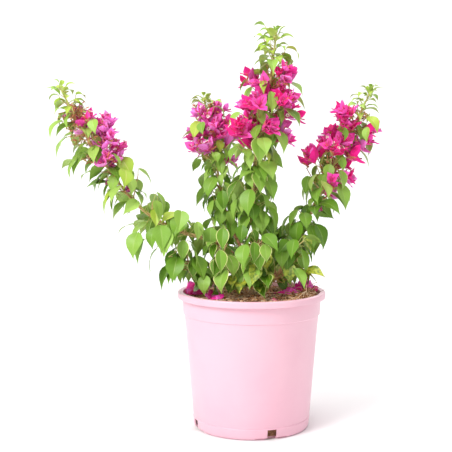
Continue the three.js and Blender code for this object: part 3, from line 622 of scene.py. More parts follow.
# %% Curves of the arms
ARMS = {
    "tall": ([(24, 2.5, 180), (17, -2, 228), (3, -6, 290), (4, -12, 375), (22, -8, 464), (34, 2, 558)], 4.6),
    "left": ([(19, -1, 214), (-9, -7, 240), (-50, -14, 265), (-106, -26, 284), (-160, -37, 321),
              (-222, -50, 407), (-259, -60, 478)], 3.4),
    "back": ([(18, -1, 220), (-8, 12, 243), (-37, 32, 306), (-53, 50, 388), (-69, 64, 470)], 2.9),
    "right": ([(21, 1, 208), (46, 7, 226), (60, 15, 256), (88, 24, 310), (130, 37, 394),
               (175, 51, 480)], 3.4),
}
LOW_SHOOTS = {
    "front": ([(21, 1, 201), (12, -26, 224), (0, -46, 268)], 30351),
    "front_left": ([(21, 1, 203), (-22, -20, 216), (-50, -36, 262)], 19352),
    "far_left": ([(21, 1, 200), (-38, -8, 204), (-82, -20, 222), (-94, -32, 268)], 11753),
    "front_right": ([(22, 2, 204), (48, -20, 224), (64, -30, 268)], 26554),
    "back_right": ([(22, 2, 202), (44, 34, 220), (58, 56, 268)], 24955),
    "back_left": ([(21, 1, 201), (-14, 30, 218), (-46, 52, 262)], 26956),
}
LOW_RADIUS, TIP_RADIUS = 2.2, 0.9
CURVE_STEPS, SAMPLE_STEP = 200, 6.0
for name, (route, seed) in LOW_SHOOTS.items():
    ARMS["low_" + name] = (route, LOW_RADIUS)


class Arm:
    """One shoot: places, directions and thickness by length along its curve."""

    def __init__(self, route, foot_radius):
        self.route = np.array(route, float)
        self.foot_radius = foot_radius
        shares = np.linspace(0, 1, CURVE_STEPS + 1)
        places = np.array([self.point(share) for share in shares])
        steps = np.linalg.norm(np.diff(places, axis=0), axis=1)
        self.walked = np.concatenate([[0.0], np.cumsum(steps)])
        self.shares = shares
        self.length = self.walked[-1]

    def point(self, share):
        route, last = self.route, len(self.route) - 1
        start = min(int(math.floor(last * share)), last - 1)
        weight = last * share - start
        one, two = route[start], route[start + 1]
        before = route[start - 1] if start > 0 else 2 * one - two
        after = route[start + 2] if start + 2 <= last else 2 * two - one
        leave, enter = 0.5 * (two - before), 0.5 * (after - one)
        square = -3 * one + 3 * two - 2 * leave - enter
        cube = 2 * one - 2 * two + leave + enter
        return one + weight * (leave + weight * (square + weight * cube))

    def share_at(self, along):
        return float(np.interp(along, self.walked, self.shares))

    def at(self, along):
        return self.point(self.share_at(min(max(along, 0.0), self.length)))

    def heading(self, along):
        share = self.share_at(along)
        return unit(self.point(min(1.0, share + 1e-4)) - self.point(max(0.0, share - 1e-4)))

    def radius(self, along):
        return self.foot_radius + (TIP_RADIUS - self.foot_radius) * min(1.0, along / self.length)

    def path(self, start, end):
        count = max(2, math.ceil((end - start) / SAMPLE_STEP))
        return np.array([self.at(start + (end - start) * i / count) for i in range(count + 1)])


ARMS = {name: Arm(route, radius) for name, (route, radius) in ARMS.items()}
print("arm lengths:", {name: round(arm.length) for name, arm in ARMS.items()})

# %% [markdown]
# ## The masses
# On the real bush each shoot carries big hanging leaves low down, bracts above them and a tuft of
# young leaves at the tip. Each such stretch is one mass with its own numbers, so the crown can be
# tuned stretch by stretch: spacing of buds, leaf length at foot and tip, how far the leaves hang, how
# often and how far a twig branches off, and which part of the stretch flowers.

# %% Masses of foliage
LEAFY = dict(twigs=0.35, twig_length=(22, 20), lift=0.2, bloom=(2, 2), crown=0)
FLOWERING = dict(twigs=0.45, lift=0.35, crown=7)
LOW = dict(LEAFY, start=14, reach=60, spacing=(6.5, 6.5), leaf=(35, 32), droop=(65, 50), twig_length=(20, 18))
MASSES = {
    "left_leaves": dict(LEAFY, arm="left", start=86, end=206, reach=78, spacing=(6.5, 6.5), leaf=(36, 34),
                        droop=(60, 45), twigs=0.5, twig_length=(34, 24), seed=39811),
    "left_flowers": dict(FLOWERING, arm="left", start=206, reach=64, spacing=(6, 6), leaf=(32, 24),
                         droop=(55, 25), twig_length=(38, 20), lift=0.9, bloom=(0.24, 0.68), seed=50512),
    "tall_leaves": dict(LEAFY, arm="tall", start=100, end=196, reach=70, spacing=(6, 6), leaf=(38, 34),
                        droop=(70, 60), seed=13321),
    "tall_flowers": dict(FLOWERING, arm="tall", start=196, reach=66, spacing=(4.5, 5.5), leaf=(34, 24),
                         droop=(60, 20), twig_length=(50, 18), bloom=(0.02, 0.56), seed=29222),
    "back_leaves": dict(LEAFY, arm="back", start=76, end=166, reach=58, spacing=(6.5, 6.5), leaf=(34, 30),
                        droop=(70, 60), seed=38531),
    "back_flowers": dict(FLOWERING, arm="back", start=166, reach=52, spacing=(5, 5.5), leaf=(28, 21),
                         droop=(55, 20), twig_length=(36, 18), bloom=(0, 0.74), seed=73832),
    "right_leaves": dict(LEAFY, arm="right", start=60, end=138, reach=60, spacing=(6.5, 6.5), leaf=(36, 32),
                         droop=(70, 55), seed=35741),
    "right_flowers": dict(FLOWERING, arm="right", start=138, reach=60, spacing=(5, 6), leaf=(34, 22),
                          droop=(60, 25), twig_length=(38, 18), bloom=(0.02, 0.66), seed=55642),
}
for name, (route, seed) in LOW_SHOOTS.items():
    MASSES["low_" + name + "_leaves"] = dict(LOW, arm="low_" + name, seed=seed)

DROOP_ZONE = 18.0
TRUNK_LENGTH, FORK_OVERLAP = 38.0, 10.0
TRUNK_RADIUS, TRUNK_FLARE, TRUNK_FLARE_FADE = 5.6, 4.2, 5.0
for mass in MASSES.values():
    mass.setdefault("end", ARMS[mass["arm"]].length)
for mass in MASSES.values():
    arm = ARMS[mass["arm"]]
    mates = [other for other in MASSES.values() if other["arm"] == mass["arm"]]
    below = any(other["end"] == mass["start"] for other in mates)
    above = any(other["start"] == mass["end"] for other in mates)
    mass["spine"] = arm.path(mass["start"] - (DROOP_ZONE if below else 0),
                             mass["end"] - (DROOP_ZONE if above else 0))
    wood = [(ARMS["tall"].path(0, TRUNK_LENGTH + FORK_OVERLAP), TRUNK_RADIUS + TRUNK_FLARE)]
    wood += [(other.path(0, other.length), other.foot_radius) for other in ARMS.values() if other is not arm]
    if not mass["arm"].startswith("low_"):
        wood.append((arm.path(0, mass["start"]), arm.foot_radius))
    if mass["end"] < arm.length:
        wood.append((arm.path(mass["end"], arm.length), arm.foot_radius))
    mass["wood_points"] = np.concatenate([path for path, _ in wood])
    mass["wood_radii"] = np.concatenate([np.full(len(path), radius) for path, radius in wood])
    mass["wood_from"] = np.concatenate([path[:-1] for path, _ in wood])
    mass["wood_to"] = np.concatenate([path[1:] for path, _ in wood])
    mass["wood_width"] = np.concatenate([np.full(len(path) - 1, radius) for path, radius in wood])
print("masses:", len(MASSES))

# %% [markdown]
# ## Room for each mass
# Shoots of a real bush share out the light: each keeps to its own space. A point belongs to the mass
# whose stem is nearest, measured in reaches, and it stays off the wood, the pot and the mix. Asking
# this of a blade's corners before it is placed keeps the leaves from running into each other's sprays.

# %% Tests for room
SPACE_MARGIN, LIMB_MARGIN, FLOOR_CLEAR, INSIDE_RADIUS = 1.2, 1.4, 1.5, 84.0


def distances(points, starts, ends):
    """Distance of each point from each straight stretch."""
    way = ends - starts
    share = np.einsum("psk,sk->ps", points[:, None] - starts, way) / np.einsum("sk,sk->s", way, way)
    nearest = starts + np.clip(share, 0, 1)[..., None] * way
    return np.linalg.norm(points[:, None] - nearest, axis=2)


def fits(points, mass):
    points = np.array(points)
    inside = np.hypot(points[:, 0], points[:, 1]) < INSIDE_RADIUS
    floor = np.where(inside, mass.get("floor", MIX_EDGE_HEIGHT + MIX_HEAP), RIM_HEIGHT)
    if (points[:, 2] < floor + FLOOR_CLEAR).any():
        return False
    own = distances(points, mass["spine"][:-1], mass["spine"][1:]).min(1)
    if (own > mass["reach"]).any():
        return False
    for other in MASSES.values():
        shared = other["arm"] == mass["arm"] and mass.get("shares_arm", False)
        if other is not mass and not shared:
            away = distances(points, other["spine"][:-1], other["spine"][1:]).min(1)
            if ((away / other["reach"] - own / mass["reach"]) * mass["reach"] < SPACE_MARGIN).any():
                return False
    to_wood = distances(points, mass["wood_from"], mass["wood_to"]) - mass["wood_width"]
    return not (to_wood < LIMB_MARGIN).any()


def touches_wood(blades, mass):
    points, radii = mass["wood_points"], mass["wood_radii"]
    for blade in blades:
        first, second = blade[1] - blade[0], blade[2] - blade[0]
        normal = np.cross(first, second)
        normal = normal / np.linalg.norm(normal)
        offset = points - blade[0]
        height = offset @ normal
        flat = offset - height[:, None] * normal
        corners = np.array([[first @ first, first @ second], [first @ second, second @ second]])
        inner = np.linalg.solve(corners, np.stack([flat @ first, flat @ second]))
        over = (inner[0] >= 0) & (inner[1] >= 0) & (inner[0] + inner[1] <= 1)
        edges = distances(points, blade, np.roll(blade, -1, axis=0)).min(1)
        nearest = np.where(over, np.abs(height), edges)
        if (nearest < radii + LIMB_MARGIN).any():
            return True
    return False


def lines_meet(starts, ends, blades):
    """True where any of the straight lines passes through any of the triangles."""
    if not len(starts) or not len(blades):
        return False
    reach = np.linalg.norm(ends - starts, axis=1)
    way = (ends - starts) / reach[:, None]
    one, two = blades[:, 1] - blades[:, 0], blades[:, 2] - blades[:, 0]
    normal = np.cross(one, two)
    slope = way @ normal.T
    offset = starts[:, None] - blades[None, :, 0]
    side = np.sign(slope)
    size = np.abs(slope)
    first = side * np.einsum("sk,sbk->sb", way, np.cross(offset, two[None]))
    second = side * np.einsum("sk,sbk->sb", way, np.cross(one[None], offset))
    depth = -side * np.einsum("sbk,bk->sb", offset, normal)
    inside = (size > 0) & (first >= 0) & (second >= 0) & (first + second <= size) & (depth >= 0)
    with np.errstate(divide="ignore", invalid="ignore"):
        return bool((inside & (depth / size < reach[:, None])).any())


# %% [markdown]
# ## One leaf, one group of bracts
# A leaf leaves its bud on a rising stalk and its blade hangs from there. Three bracts open round one
# axis. Only the key points are worked out here, as that is all the tests for room need. The finished
# leaf shape is put on them later.

# %% Key points of a leaf and of a group of bracts
LEAF_WIDTH_SHARE, LEAF_SHOULDER, LEAF_KEEL, LEAF_ROLL = 0.74, 0.36, 1.1, 0.5
STALK_SHARE, STALK_RISE, MOST_DROOP = 0.32, 0.45, 1.4
BRACT_LENGTH, BRACT_WIDTH_SHARE, BRACT_SHOULDER, BRACT_KEEL = 24.0, 0.68, 0.4, 0.9
BRACT_OPEN, BLOOM_STALK = (0.5, 0.9), 6.0


def leaf_pose(root, outward, stalk, blade, droop, roll):
    rise = unit(outward + STALK_RISE * UP)
    neck = root + rise * stalk
    flat = np.array([outward[0], outward[1], 0.0])
    flat = unit(flat) if np.linalg.norm(flat) >= 0.05 else np.array([0.0, -1.0, 0.0])
    along = flat * math.cos(droop) - UP * math.sin(droop)
    side = turned(np.cross(UP, flat), along, roll)
    face = unit(np.cross(along, side))
    shoulder = neck + along * (blade * LEAF_SHOULDER)
    half = 0.5 * blade * LEAF_WIDTH_SHARE
    tip = neck + along * blade
    left, right = shoulder - side * half, shoulder + side * half
    blades = np.array([[neck, left, right], [left, tip, right]])
    keel = shoulder - face * LEAF_KEEL
    return dict(root=root, neck=neck, rise=rise, side=side, along=along, face=face, blade=blade, tip=tip,
                left=left, right=right, keel=keel, blades=blades, span=np.linalg.norm(tip - root))


def bloom_pose(root, axis, stalk, bract, opening, turn):
    neck = root + axis * stalk
    first = np.cross(axis, UP)
    first = unit(first) if np.linalg.norm(first) >= 0.05 else np.array([1.0, 0.0, 0.0])
    blades, corners, bracts = [], [], []
    for i in range(3):
        radial = turned(first, axis, turn + i * 2 * math.pi / 3)
        side = unit(np.cross(axis, radial))
        along = axis * math.cos(opening) + radial * math.sin(opening)
        outer = radial * math.cos(opening) - axis * math.sin(opening)
        shoulder = neck + along * (bract * BRACT_SHOULDER)
        half = 0.5 * bract * BRACT_WIDTH_SHARE
        left, right, tip = shoulder - side * half, shoulder + side * half, neck + along * bract
        blades += [[neck, left, right], [left, tip, right]]
        corners += [left, right, shoulder + outer * BRACT_KEEL, tip]
        bracts.append(dict(along=along, side=side, outer=outer))
    blades = np.array(blades)
    return dict(root=root, neck=neck, axis=axis, bract=bract, blades=blades, corners=corners, bracts=bracts,
                span=np.linalg.norm(blades[1][1] - root))


# %% [markdown]
# ## The growth rule
# Buds stand one golden angle apart, as on most plants, so no leaf sits right above the last. Each bud
# carries a leaf, and by a seeded draw also a twig or a group of bracts. What finds no room is tried
# again, turned aside, hung lower and on a longer stalk, and is left out after the last try. The same
# seeds always grow the same bush.

# %% Growth of one mass
GOLDEN_ANGLE = math.radians(137.508)
PLACE_TRIES, TRY_SHRINK, TRY_HANG, TRY_STRETCH, SWING = 9, 0.04, 0.15, 0.06, 0.45
FIRST_BUD, CROWN_SPAN, CROWN_RISE, ROOT_SINK = 3.0, 16.0, 1.2, 2.5


def seeded(seed):
    """The same row of draws as in the part's source, from the same seed."""
    state = [seed * 7919 + 12345]

    def draw(low=0.0, high=1.0):
        state[0] = (state[0] * 1664525 + 1013904223) % 2 ** 32
        return low + (high - low) * (state[0] / 2 ** 32)
    return draw


class Growth:
    """What one mass has grown so far, and the calls that add to it."""

    def __init__(self, mass, draw):
        self.mass, self.draw = mass, draw
        self.leaves, self.blooms, self.twigs = [], [], []
        self.mates = []

    def crosses(self, pose, petals_may_touch=False):
        blades = pose["blades"]
        growths = [self] + self.mates
        twigs = [twig for growth in growths for twig in growth.twigs]
        if twigs and not petals_may_touch:
            roots, tips = np.array([t["root"] for t in twigs]), np.array([t["tip"] for t in twigs])
            if lines_meet(roots, tips, blades):
                return True
        grown_here = [other for growth in growths
                      for other in growth.leaves + ([] if petals_may_touch else growth.blooms)]
        near = [other for other in grown_here
                if np.linalg.norm(other["neck"] - pose["neck"]) <= 2 * pose["span"]]
        if not near:
            return False
        theirs = np.concatenate([other["blades"] for other in near])
        roots, necks = np.array([o["root"] for o in near]), np.array([o["neck"] for o in near])
        if lines_meet(roots, necks, blades) or lines_meet(pose["root"][None], pose["neck"][None], theirs):
            return True
        mine = blades.reshape(-1, 3), np.roll(blades, -1, axis=1).reshape(-1, 3)
        other_edges = theirs.reshape(-1, 3), np.roll(theirs, -1, axis=1).reshape(-1, 3)
        return lines_meet(*mine, theirs) or lines_meet(*other_edges, blades)

    def add_leaf(self, root, outward, blade, droop, tries=PLACE_TRIES, kind="leaf", may_touch=False):
        for attempt in range(tries):
            swing = turned(outward, UP, attempt * SWING * (-1) ** attempt)
            hang = min(MOST_DROOP, droop + TRY_HANG * attempt)
            stalk = blade * (STALK_SHARE + TRY_STRETCH * attempt)
            length = blade * (1 - TRY_SHRINK * attempt)
            pose = leaf_pose(root, swing, stalk, length, hang, self.draw(-LEAF_ROLL, LEAF_ROLL))
            corners = [pose[key] for key in ("left", "right", "keel")]
            outline = [pose["neck"], pose["tip"]] + corners + [(c + pose["tip"]) / 2 for c in corners]
            if not fits(outline, self.mass) or touches_wood(pose["blades"], self.mass):
                continue
            if may_touch or not self.crosses(pose):
                pose["kind"] = kind
                self.leaves.append(pose)
                return pose
        return None

    def add_bloom(self, root, axis, stalk, bract, tries=PLACE_TRIES, petals_may_touch=False):
        for attempt in range(tries):
            swing = turned(axis, UP, attempt * SWING * (-1) ** attempt)
            opening = self.draw(*BRACT_OPEN)
            pose = bloom_pose(root, swing, stalk, bract, opening, self.draw(0, 2))
            outline = [pose["neck"]] + pose["corners"]
            if not fits(outline, self.mass) or touches_wood(pose["blades"], self.mass):
                continue
            if not self.crosses(pose, petals_may_touch):
                self.blooms.append(pose)
                return pose
        return None

    def twig_has_room(self, root, tip):
        return fits([root + (tip - root) * share for share in (0.4, 0.7, 1.0)], self.mass)

    def add_twig(self, root, way, length):
        tip = root + way * length
        grown = self.leaves + self.blooms
        blocked = grown and lines_meet(root[None], tip[None], np.concatenate([o["blades"] for o in grown]))
        if blocked or not self.twig_has_room(root, tip):
            return None
        self.twigs.append(dict(root=root, tip=tip))
        return tip - way * ROOT_SINK


def grow(mass):
    arm, draw = ARMS[mass["arm"]], seeded(mass["seed"])
    growth = Growth(mass, draw)
    along, bud = mass["start"] + FIRST_BUD, 0
    while along < mass["end"] - 2:
        share = (along - mass["start"]) / (mass["end"] - mass["start"])
        mix = lambda pair: pair[0] + (pair[1] - pair[0]) * share
        place, ahead = arm.at(along), arm.heading(along)
        outward = sideways(ahead, mass["seed"] + bud * GOLDEN_ANGLE + draw(-0.4, 0.4))
        droop = math.radians(mix(mass["droop"]) + draw(-18, 18))
        blade = mix(mass["leaf"]) * draw(0.8, 1.15)
        growth.add_leaf(place, outward, blade, droop)

        way = unit(-outward + 0.5 * ahead + mass["lift"] * UP)
        other = turned(way, UP, draw(-0.9, 0.9))
        branches = draw() < mass["twigs"]
        length = mix(mass["twig_length"]) * draw(0.7, 1.2)
        if mass["bloom"][0] <= share <= mass["bloom"][1]:
            end = growth.add_twig(place, way, length) if branches else None
            if end is not None:
                growth.add_bloom(end, other, BLOOM_STALK, BRACT_LENGTH * draw(0.85, 1.15))
            else:
                stalk = length * draw(0.25, 0.85)
                growth.add_bloom(place, way, stalk, BRACT_LENGTH * draw(0.8, 1.1))
        elif branches:
            end = growth.add_twig(place, way, length)
            if end is not None:
                growth.add_leaf(end, way, blade * 0.95, droop)
                growth.add_leaf((place + end) / 2, other, blade * 0.85, droop)
        along += mix(mass["spacing"]) * draw(0.85, 1.15)
        bud += 1
    for i in range(mass["crown"]):
        back = i * CROWN_SPAN / mass["crown"]
        place = arm.at(arm.length - 2 - back)
        outward = turned(np.array([1.0, 0.0, 0.0]), UP, mass["seed"] + i * GOLDEN_ANGLE)
        outward = outward + UP * (CROWN_RISE * (1 - back / CROWN_SPAN))
        growth.add_leaf(place, outward, mass["leaf"][1] * (0.8 + 0.5 * back / CROWN_SPAN), draw(-0.7, 0.1),
                        kind="young")
    return growth


def count_grown():
    return {kind: sum(len(getattr(growth, kind)) for growth in grown.values())
            for kind in ("leaves", "blooms", "twigs")}


grown = {name: grow(mass) for name, mass in MASSES.items()}
print("grown by the source's rule:", count_grown())

# %% [markdown]
# ## The shape of a leaf
# A bougainvillea leaf is a rounded heart that runs out into a long tip. It is folded a little along
# its pale rib, its tip bends back and its edge waves. A grid from bmesh is given that outline row by
# row. The rib and the margin are strips of their own, so that each can have its own plain colour. A
# few variants are enough, because each copy is turned and sized by the growth rule.

# %% Leaf shapes
LEAF_ROWS = [(0.0, 0.06), (0.06, 0.52), (0.17, 0.86), (0.3, 1.0), (0.45, 0.93), (0.6, 0.7), (0.75, 0.38),
             (0.88, 0.13), (1.0, 0.008)]
LEAF_COLUMNS = [-1.0, -0.9, -0.45, -0.022, 0.022, 0.45, 0.9, 1.0]
LEAF_HALF_WIDTH = 0.34


def blade_shape(rows, columns, half_width, fold, arch, wave, seed, strip_slots):
    """A blade of length 1 along +Y with its face up: fold lifts its sides, arch raises its middle."""
    bm = bmesh.new()
    layer = bm.loops.layers.uv.new("blade")
    bmesh.ops.create_grid(bm, x_segments=len(columns) - 1, y_segments=len(rows) - 1, size=1.0)
    grid_x, grid_y = len(columns) - 1, len(rows) - 1
    cell = {}
    for vert in bm.verts:
        cell[vert] = round((vert.co.x + 1) / 2 * grid_x), round((vert.co.y + 1) / 2 * grid_y)
    for face in bm.faces:
        strip = min(cell[vert][0] for vert in face.verts)
        face.material_index = strip_slots[strip]
        for loop in face.loops:
            i, j = cell[loop.vert]
            loop[layer].uv = (0.5 + 0.5 * columns[i], rows[j][0])
    for vert in bm.verts:
        i, j = cell[vert]
        along, wide = rows[j]
        x = half_width * wide * columns[i]
        lift = fold * abs(x) + arch * 4 * along * (1 - along) - 0.35 * fold * x * x / half_width
        ripple = wave * abs(columns[i]) * wide * math.sin(seed + 9.0 * along + 2.0 * columns[i])
        vert.co = (x * math.cos(fold * 0.6), along - 0.06 * abs(columns[i]) * (1 - along) ** 4, lift + ripple)
    return Shape(bm)


LEAF_STRIPS = [2, 0, 0, 1, 0, 0, 2]
LEAF_FORMS = [(1.0, 0.34, 0.1, 0.012), (1.1, 0.2, 0.14, 0.02), (0.92, 0.5, 0.07, 0.012),
              (1.04, 0.12, 0.18, 0.026)]
YOUNG_FORMS = [(0.84, 0.5, 0.2, 0.02), (0.96, 0.32, 0.27, 0.03)]
leaf_shapes, young_shapes = ([blade_shape(LEAF_ROWS, LEAF_COLUMNS, LEAF_HALF_WIDTH * width, fold, arch, wave,
                                          i * step, LEAF_STRIPS)
                              for i, (width, fold, arch, wave) in enumerate(forms)]
                             for forms, step in ((LEAF_FORMS, 1.7), (YOUNG_FORMS, 2.3)))
print("faces of a leaf:", len(leaf_shapes[0].sizes))

# %% [markdown]
# ## Bracts, tubes and stars
# What looks like the petals of this plant are three papery bracts. Each is a broad cup with a crinkled
# surface. The true flower is a thin tube on the middle of each bract, which opens in a small
# cream star. The bract is the same kind of grid as a leaf, cupped the other way and crumpled by noise.

# %% Bract, tube and star shapes
BRACT_ROWS = [(0.0, 0.1), (0.12, 0.6), (0.3, 0.96), (0.47, 1.0), (0.67, 0.76), (0.85, 0.36), (1.0, 0.02)]
BRACT_COLUMNS = [-1.0, -0.62, -0.28, 0.0, 0.28, 0.62, 1.0]
BRACT_HALF_WIDTH = 0.345
bract_shapes = []
for i, (cup, arch) in enumerate([(-0.55, 0.08), (-0.35, 0.0), (-0.75, 0.12), (-0.45, -0.06)]):
    shape = blade_shape(BRACT_ROWS, BRACT_COLUMNS, BRACT_HALF_WIDTH, cup, arch, 0.05, i * 2.1, [0] * 6)
    for place in shape.places:
        place[2] += 0.09 * noise.noise(Vector(place * 6.5) + Vector((i * 7, 0, 0)))
    bract_shapes.append(shape)

tube_shape = rod_shape(5, 3)
star_bm = bmesh.new()
bmesh.ops.create_circle(star_bm, segments=10, radius=1.0, cap_ends=True)
bmesh.ops.poke(star_bm, faces=star_bm.faces[:])
for vert in star_bm.verts:
    if vert.co.length < 0.1:
        vert.co.z = -0.25
bmesh.ops.inset_individual(star_bm, faces=star_bm.faces[:], thickness=0.02, depth=0.0)
for vert in star_bm.verts:
    ray = math.atan2(vert.co.y, vert.co.x)
    vert.co.xy = vert.co.xy * (0.76 + 0.24 * math.cos(5 * ray))
star_shape = Shape(star_bm)
print("faces of a bract:", len(bract_shapes[0].sizes), "of a star:", len(star_shape.sizes))

# %% [markdown]
# ## Trunk and boughs with bark
# The old wood is a thin, pale brown bark with fine lengthwise cracks and a slight swelling where each
# leaf once stood. A rod is drawn out ring by ring and bent along each arm. Its radius follows the same
# taper as the solid, and noise that is stretched along the limb raises the ridges.

# %% Bark on a limb
BARK_SIDES, RING_HEIGHT, BARK_OVERLAP = 26, 1.1, 1.0
BOUGHS = ("left", "back", "right", "tall")


def limb(name, arm, start, end, radius_at, *nodes):
    rings = max(12, int((end - start) / RING_HEIGHT))
    bm = bmesh.new()
    bmesh.ops.create_circle(bm, segments=BARK_SIDES, radius=1.0, cap_ends=True)
    edges = bm.edges[:]
    for _ in range(rings):
        made = bmesh.ops.extrude_edge_only(bm, edges=edges)["geom"]
        above = [item for item in made if isinstance(item, bmesh.types.BMVert)]
        edges = [item for item in made if isinstance(item, bmesh.types.BMEdge)
                 and all(vert in above for vert in item.verts)]
        bmesh.ops.translate(bm, verts=above, vec=(0, 0, 1.0 / rings))
    bmesh.ops.contextual_create(bm, geom=above)
    bmesh.ops.recalc_face_normals(bm, faces=bm.faces)
    for vert in bm.verts:
        share, angle = vert.co.z, math.atan2(vert.co.y, vert.co.x)
        along = start + (end - start) * share
        ring_place = Vector((2.2 * math.cos(angle), 2.2 * math.sin(angle), along / 14))
        relief = 0.09 * noise.noise(ring_place) + 0.06 * noise.noise(ring_place * 2.7)
        bud = 0.1 * max(0.0, math.cos(along / 11)) ** 12
        centre, ahead = arm.at(along), arm.heading(along)
        one = unit(np.cross(ahead, [0.0, 1.0, 0.0]))
        two = np.cross(ahead, one)
        radius = radius_at(along) * (1 + relief + bud)
        vert.co = centre + radius * (math.cos(angle) * one + math.sin(angle) * two)
    piece_from(bm, name, [bark], "bark", *nodes)


def trunk_radius(along):
    return TRUNK_RADIUS + TRUNK_FLARE * math.exp(-max(0.0, along - 10) / TRUNK_FLARE_FADE)


limb("trunk_bark", ARMS["tall"], 8.0, TRUNK_LENGTH + FORK_OVERLAP, trunk_radius, "trunk")
for name in BOUGHS:
    start = TRUNK_LENGTH + 4 if name == "tall" else 0.0
    limb(name + "_bough_bark", ARMS[name], start, MASSES[name + "_leaves"]["start"] + BARK_OVERLAP,
         ARMS[name].radius, name + "_bough")

# %% [markdown]
# Old shoots of this plant carry short curved thorns. Their number and place are a guess. One thorn is a
# tapered rod that is bent a little along the stem. Thorns follow the same golden angle as the leaves did.

# %% Thorns
thorn_rod = rod_shape(5, 4)
thorns = Joined("thorns", [bark, young_wood])
THORN_SPACING = 9.0
for name in BOUGHS:
    arm, draw = ARMS[name], np.random.default_rng(len(name) * 17)
    along, bud = (60.0 if name == "tall" else 30.0), 0
    while along < MASSES[name + "_leaves"]["end"]:
        ahead = arm.heading(along)
        outward = sideways(ahead, bud * GOLDEN_ANGLE)
        start = arm.at(along) + outward * arm.radius(along) * 0.7
        end = start + unit(outward + 0.35 * ahead) * draw.uniform(2.5, 7.0)
        line = np.array([start, (start + end) / 2 + ahead * 0.4, end])
        thick = draw.uniform(0.5, 0.9)
        thorns.add_rod(thorn_rod, line, lambda shares: thick * (1.02 - shares), draw.integers(0, 2))
        along += THORN_SPACING * draw.uniform(0.6, 1.4)
        bud += 1
thorns.finish("bark")

# %% [markdown]
# ## Finer growth
# The solids carry the larger leaves. The finished bush has the smaller ones as well, which grow by the
# same rule from a second seed: between the buds of each stretch, on short side shoots, and on the
# twigs. Each leaf, twig and group of bracts must still lie within its mass's reach and off the limbs.
# Two tests are wider than in the solids: masses of one arm share their space, and low shoots may come
# down closer to the mix, all but the one at the front right, which stays higher. The bracts of one
# cluster may overlap, as petals do.

# %% Small leaves, side shoots and more bracts
FINE_SPACING, FINE_SHOOT, FINE_SEED_STEP = 3.4, (10.0, 26.0), 777
FINER = {  # how often it is gone over, share of the buds that sprout, and the sizes of the leaves
    "left_leaves": (1, 0.75, (0.8, 1.15)), "left_flowers": (1, 0.4, (0.8, 1.1)),
    "tall_leaves": (2, 1.0, (0.75, 1.15)), "tall_flowers": (2, 0.6, (0.7, 1.05)),
    "back_leaves": (2, 1.0, (0.75, 1.1)), "back_flowers": (1, 0.7, (0.7, 1.05)),
    "low_front_leaves": (2, 1.0, (0.65, 1.1)), "low_front_left_leaves": (2, 1.0, (0.65, 1.1)),
    "low_front_right_leaves": (1, 0.7, (0.65, 1.1)), "right_leaves": (1, 0.85, (0.65, 1.05)),
}
FINER_ELSEWHERE = (1, 1.0, (0.65, 1.05))
CLUSTER, CLUSTER_BRACT, CLUSTER_STALK = (3.2, 6.0), (0.55, 0.92), (4, 19)
LOW_FLOOR, LOW_FLOORS = 188.0, {"low_front_right_leaves": 203.0}


def draws_for(name, step):
    """The growth, the numbers and the arm of one mass, with a row of draws of their own."""
    growth, mass = grown[name], MASSES[name]
    growth.draw = seeded(mass["seed"] + step)
    return growth, mass, ARMS[mass["arm"]], growth.draw


def grow_cluster(growth, bloom, draw):
    """Bracts stand in clusters: three to five more groups branch off below each group."""
    for _ in range(int(draw(*CLUSTER))):
        way = turned(bloom["axis"], UP, draw(-1.3, 1.3)) + UP * draw(-0.5, 0.6)
        way = unit(way + growth.mass.get("sunny", 0.0))
        growth.add_bloom(bloom["neck"] - bloom["axis"] * 2, way, draw(*CLUSTER_STALK),
                         BRACT_LENGTH * draw(*CLUSTER_BRACT), tries=5, petals_may_touch=True)


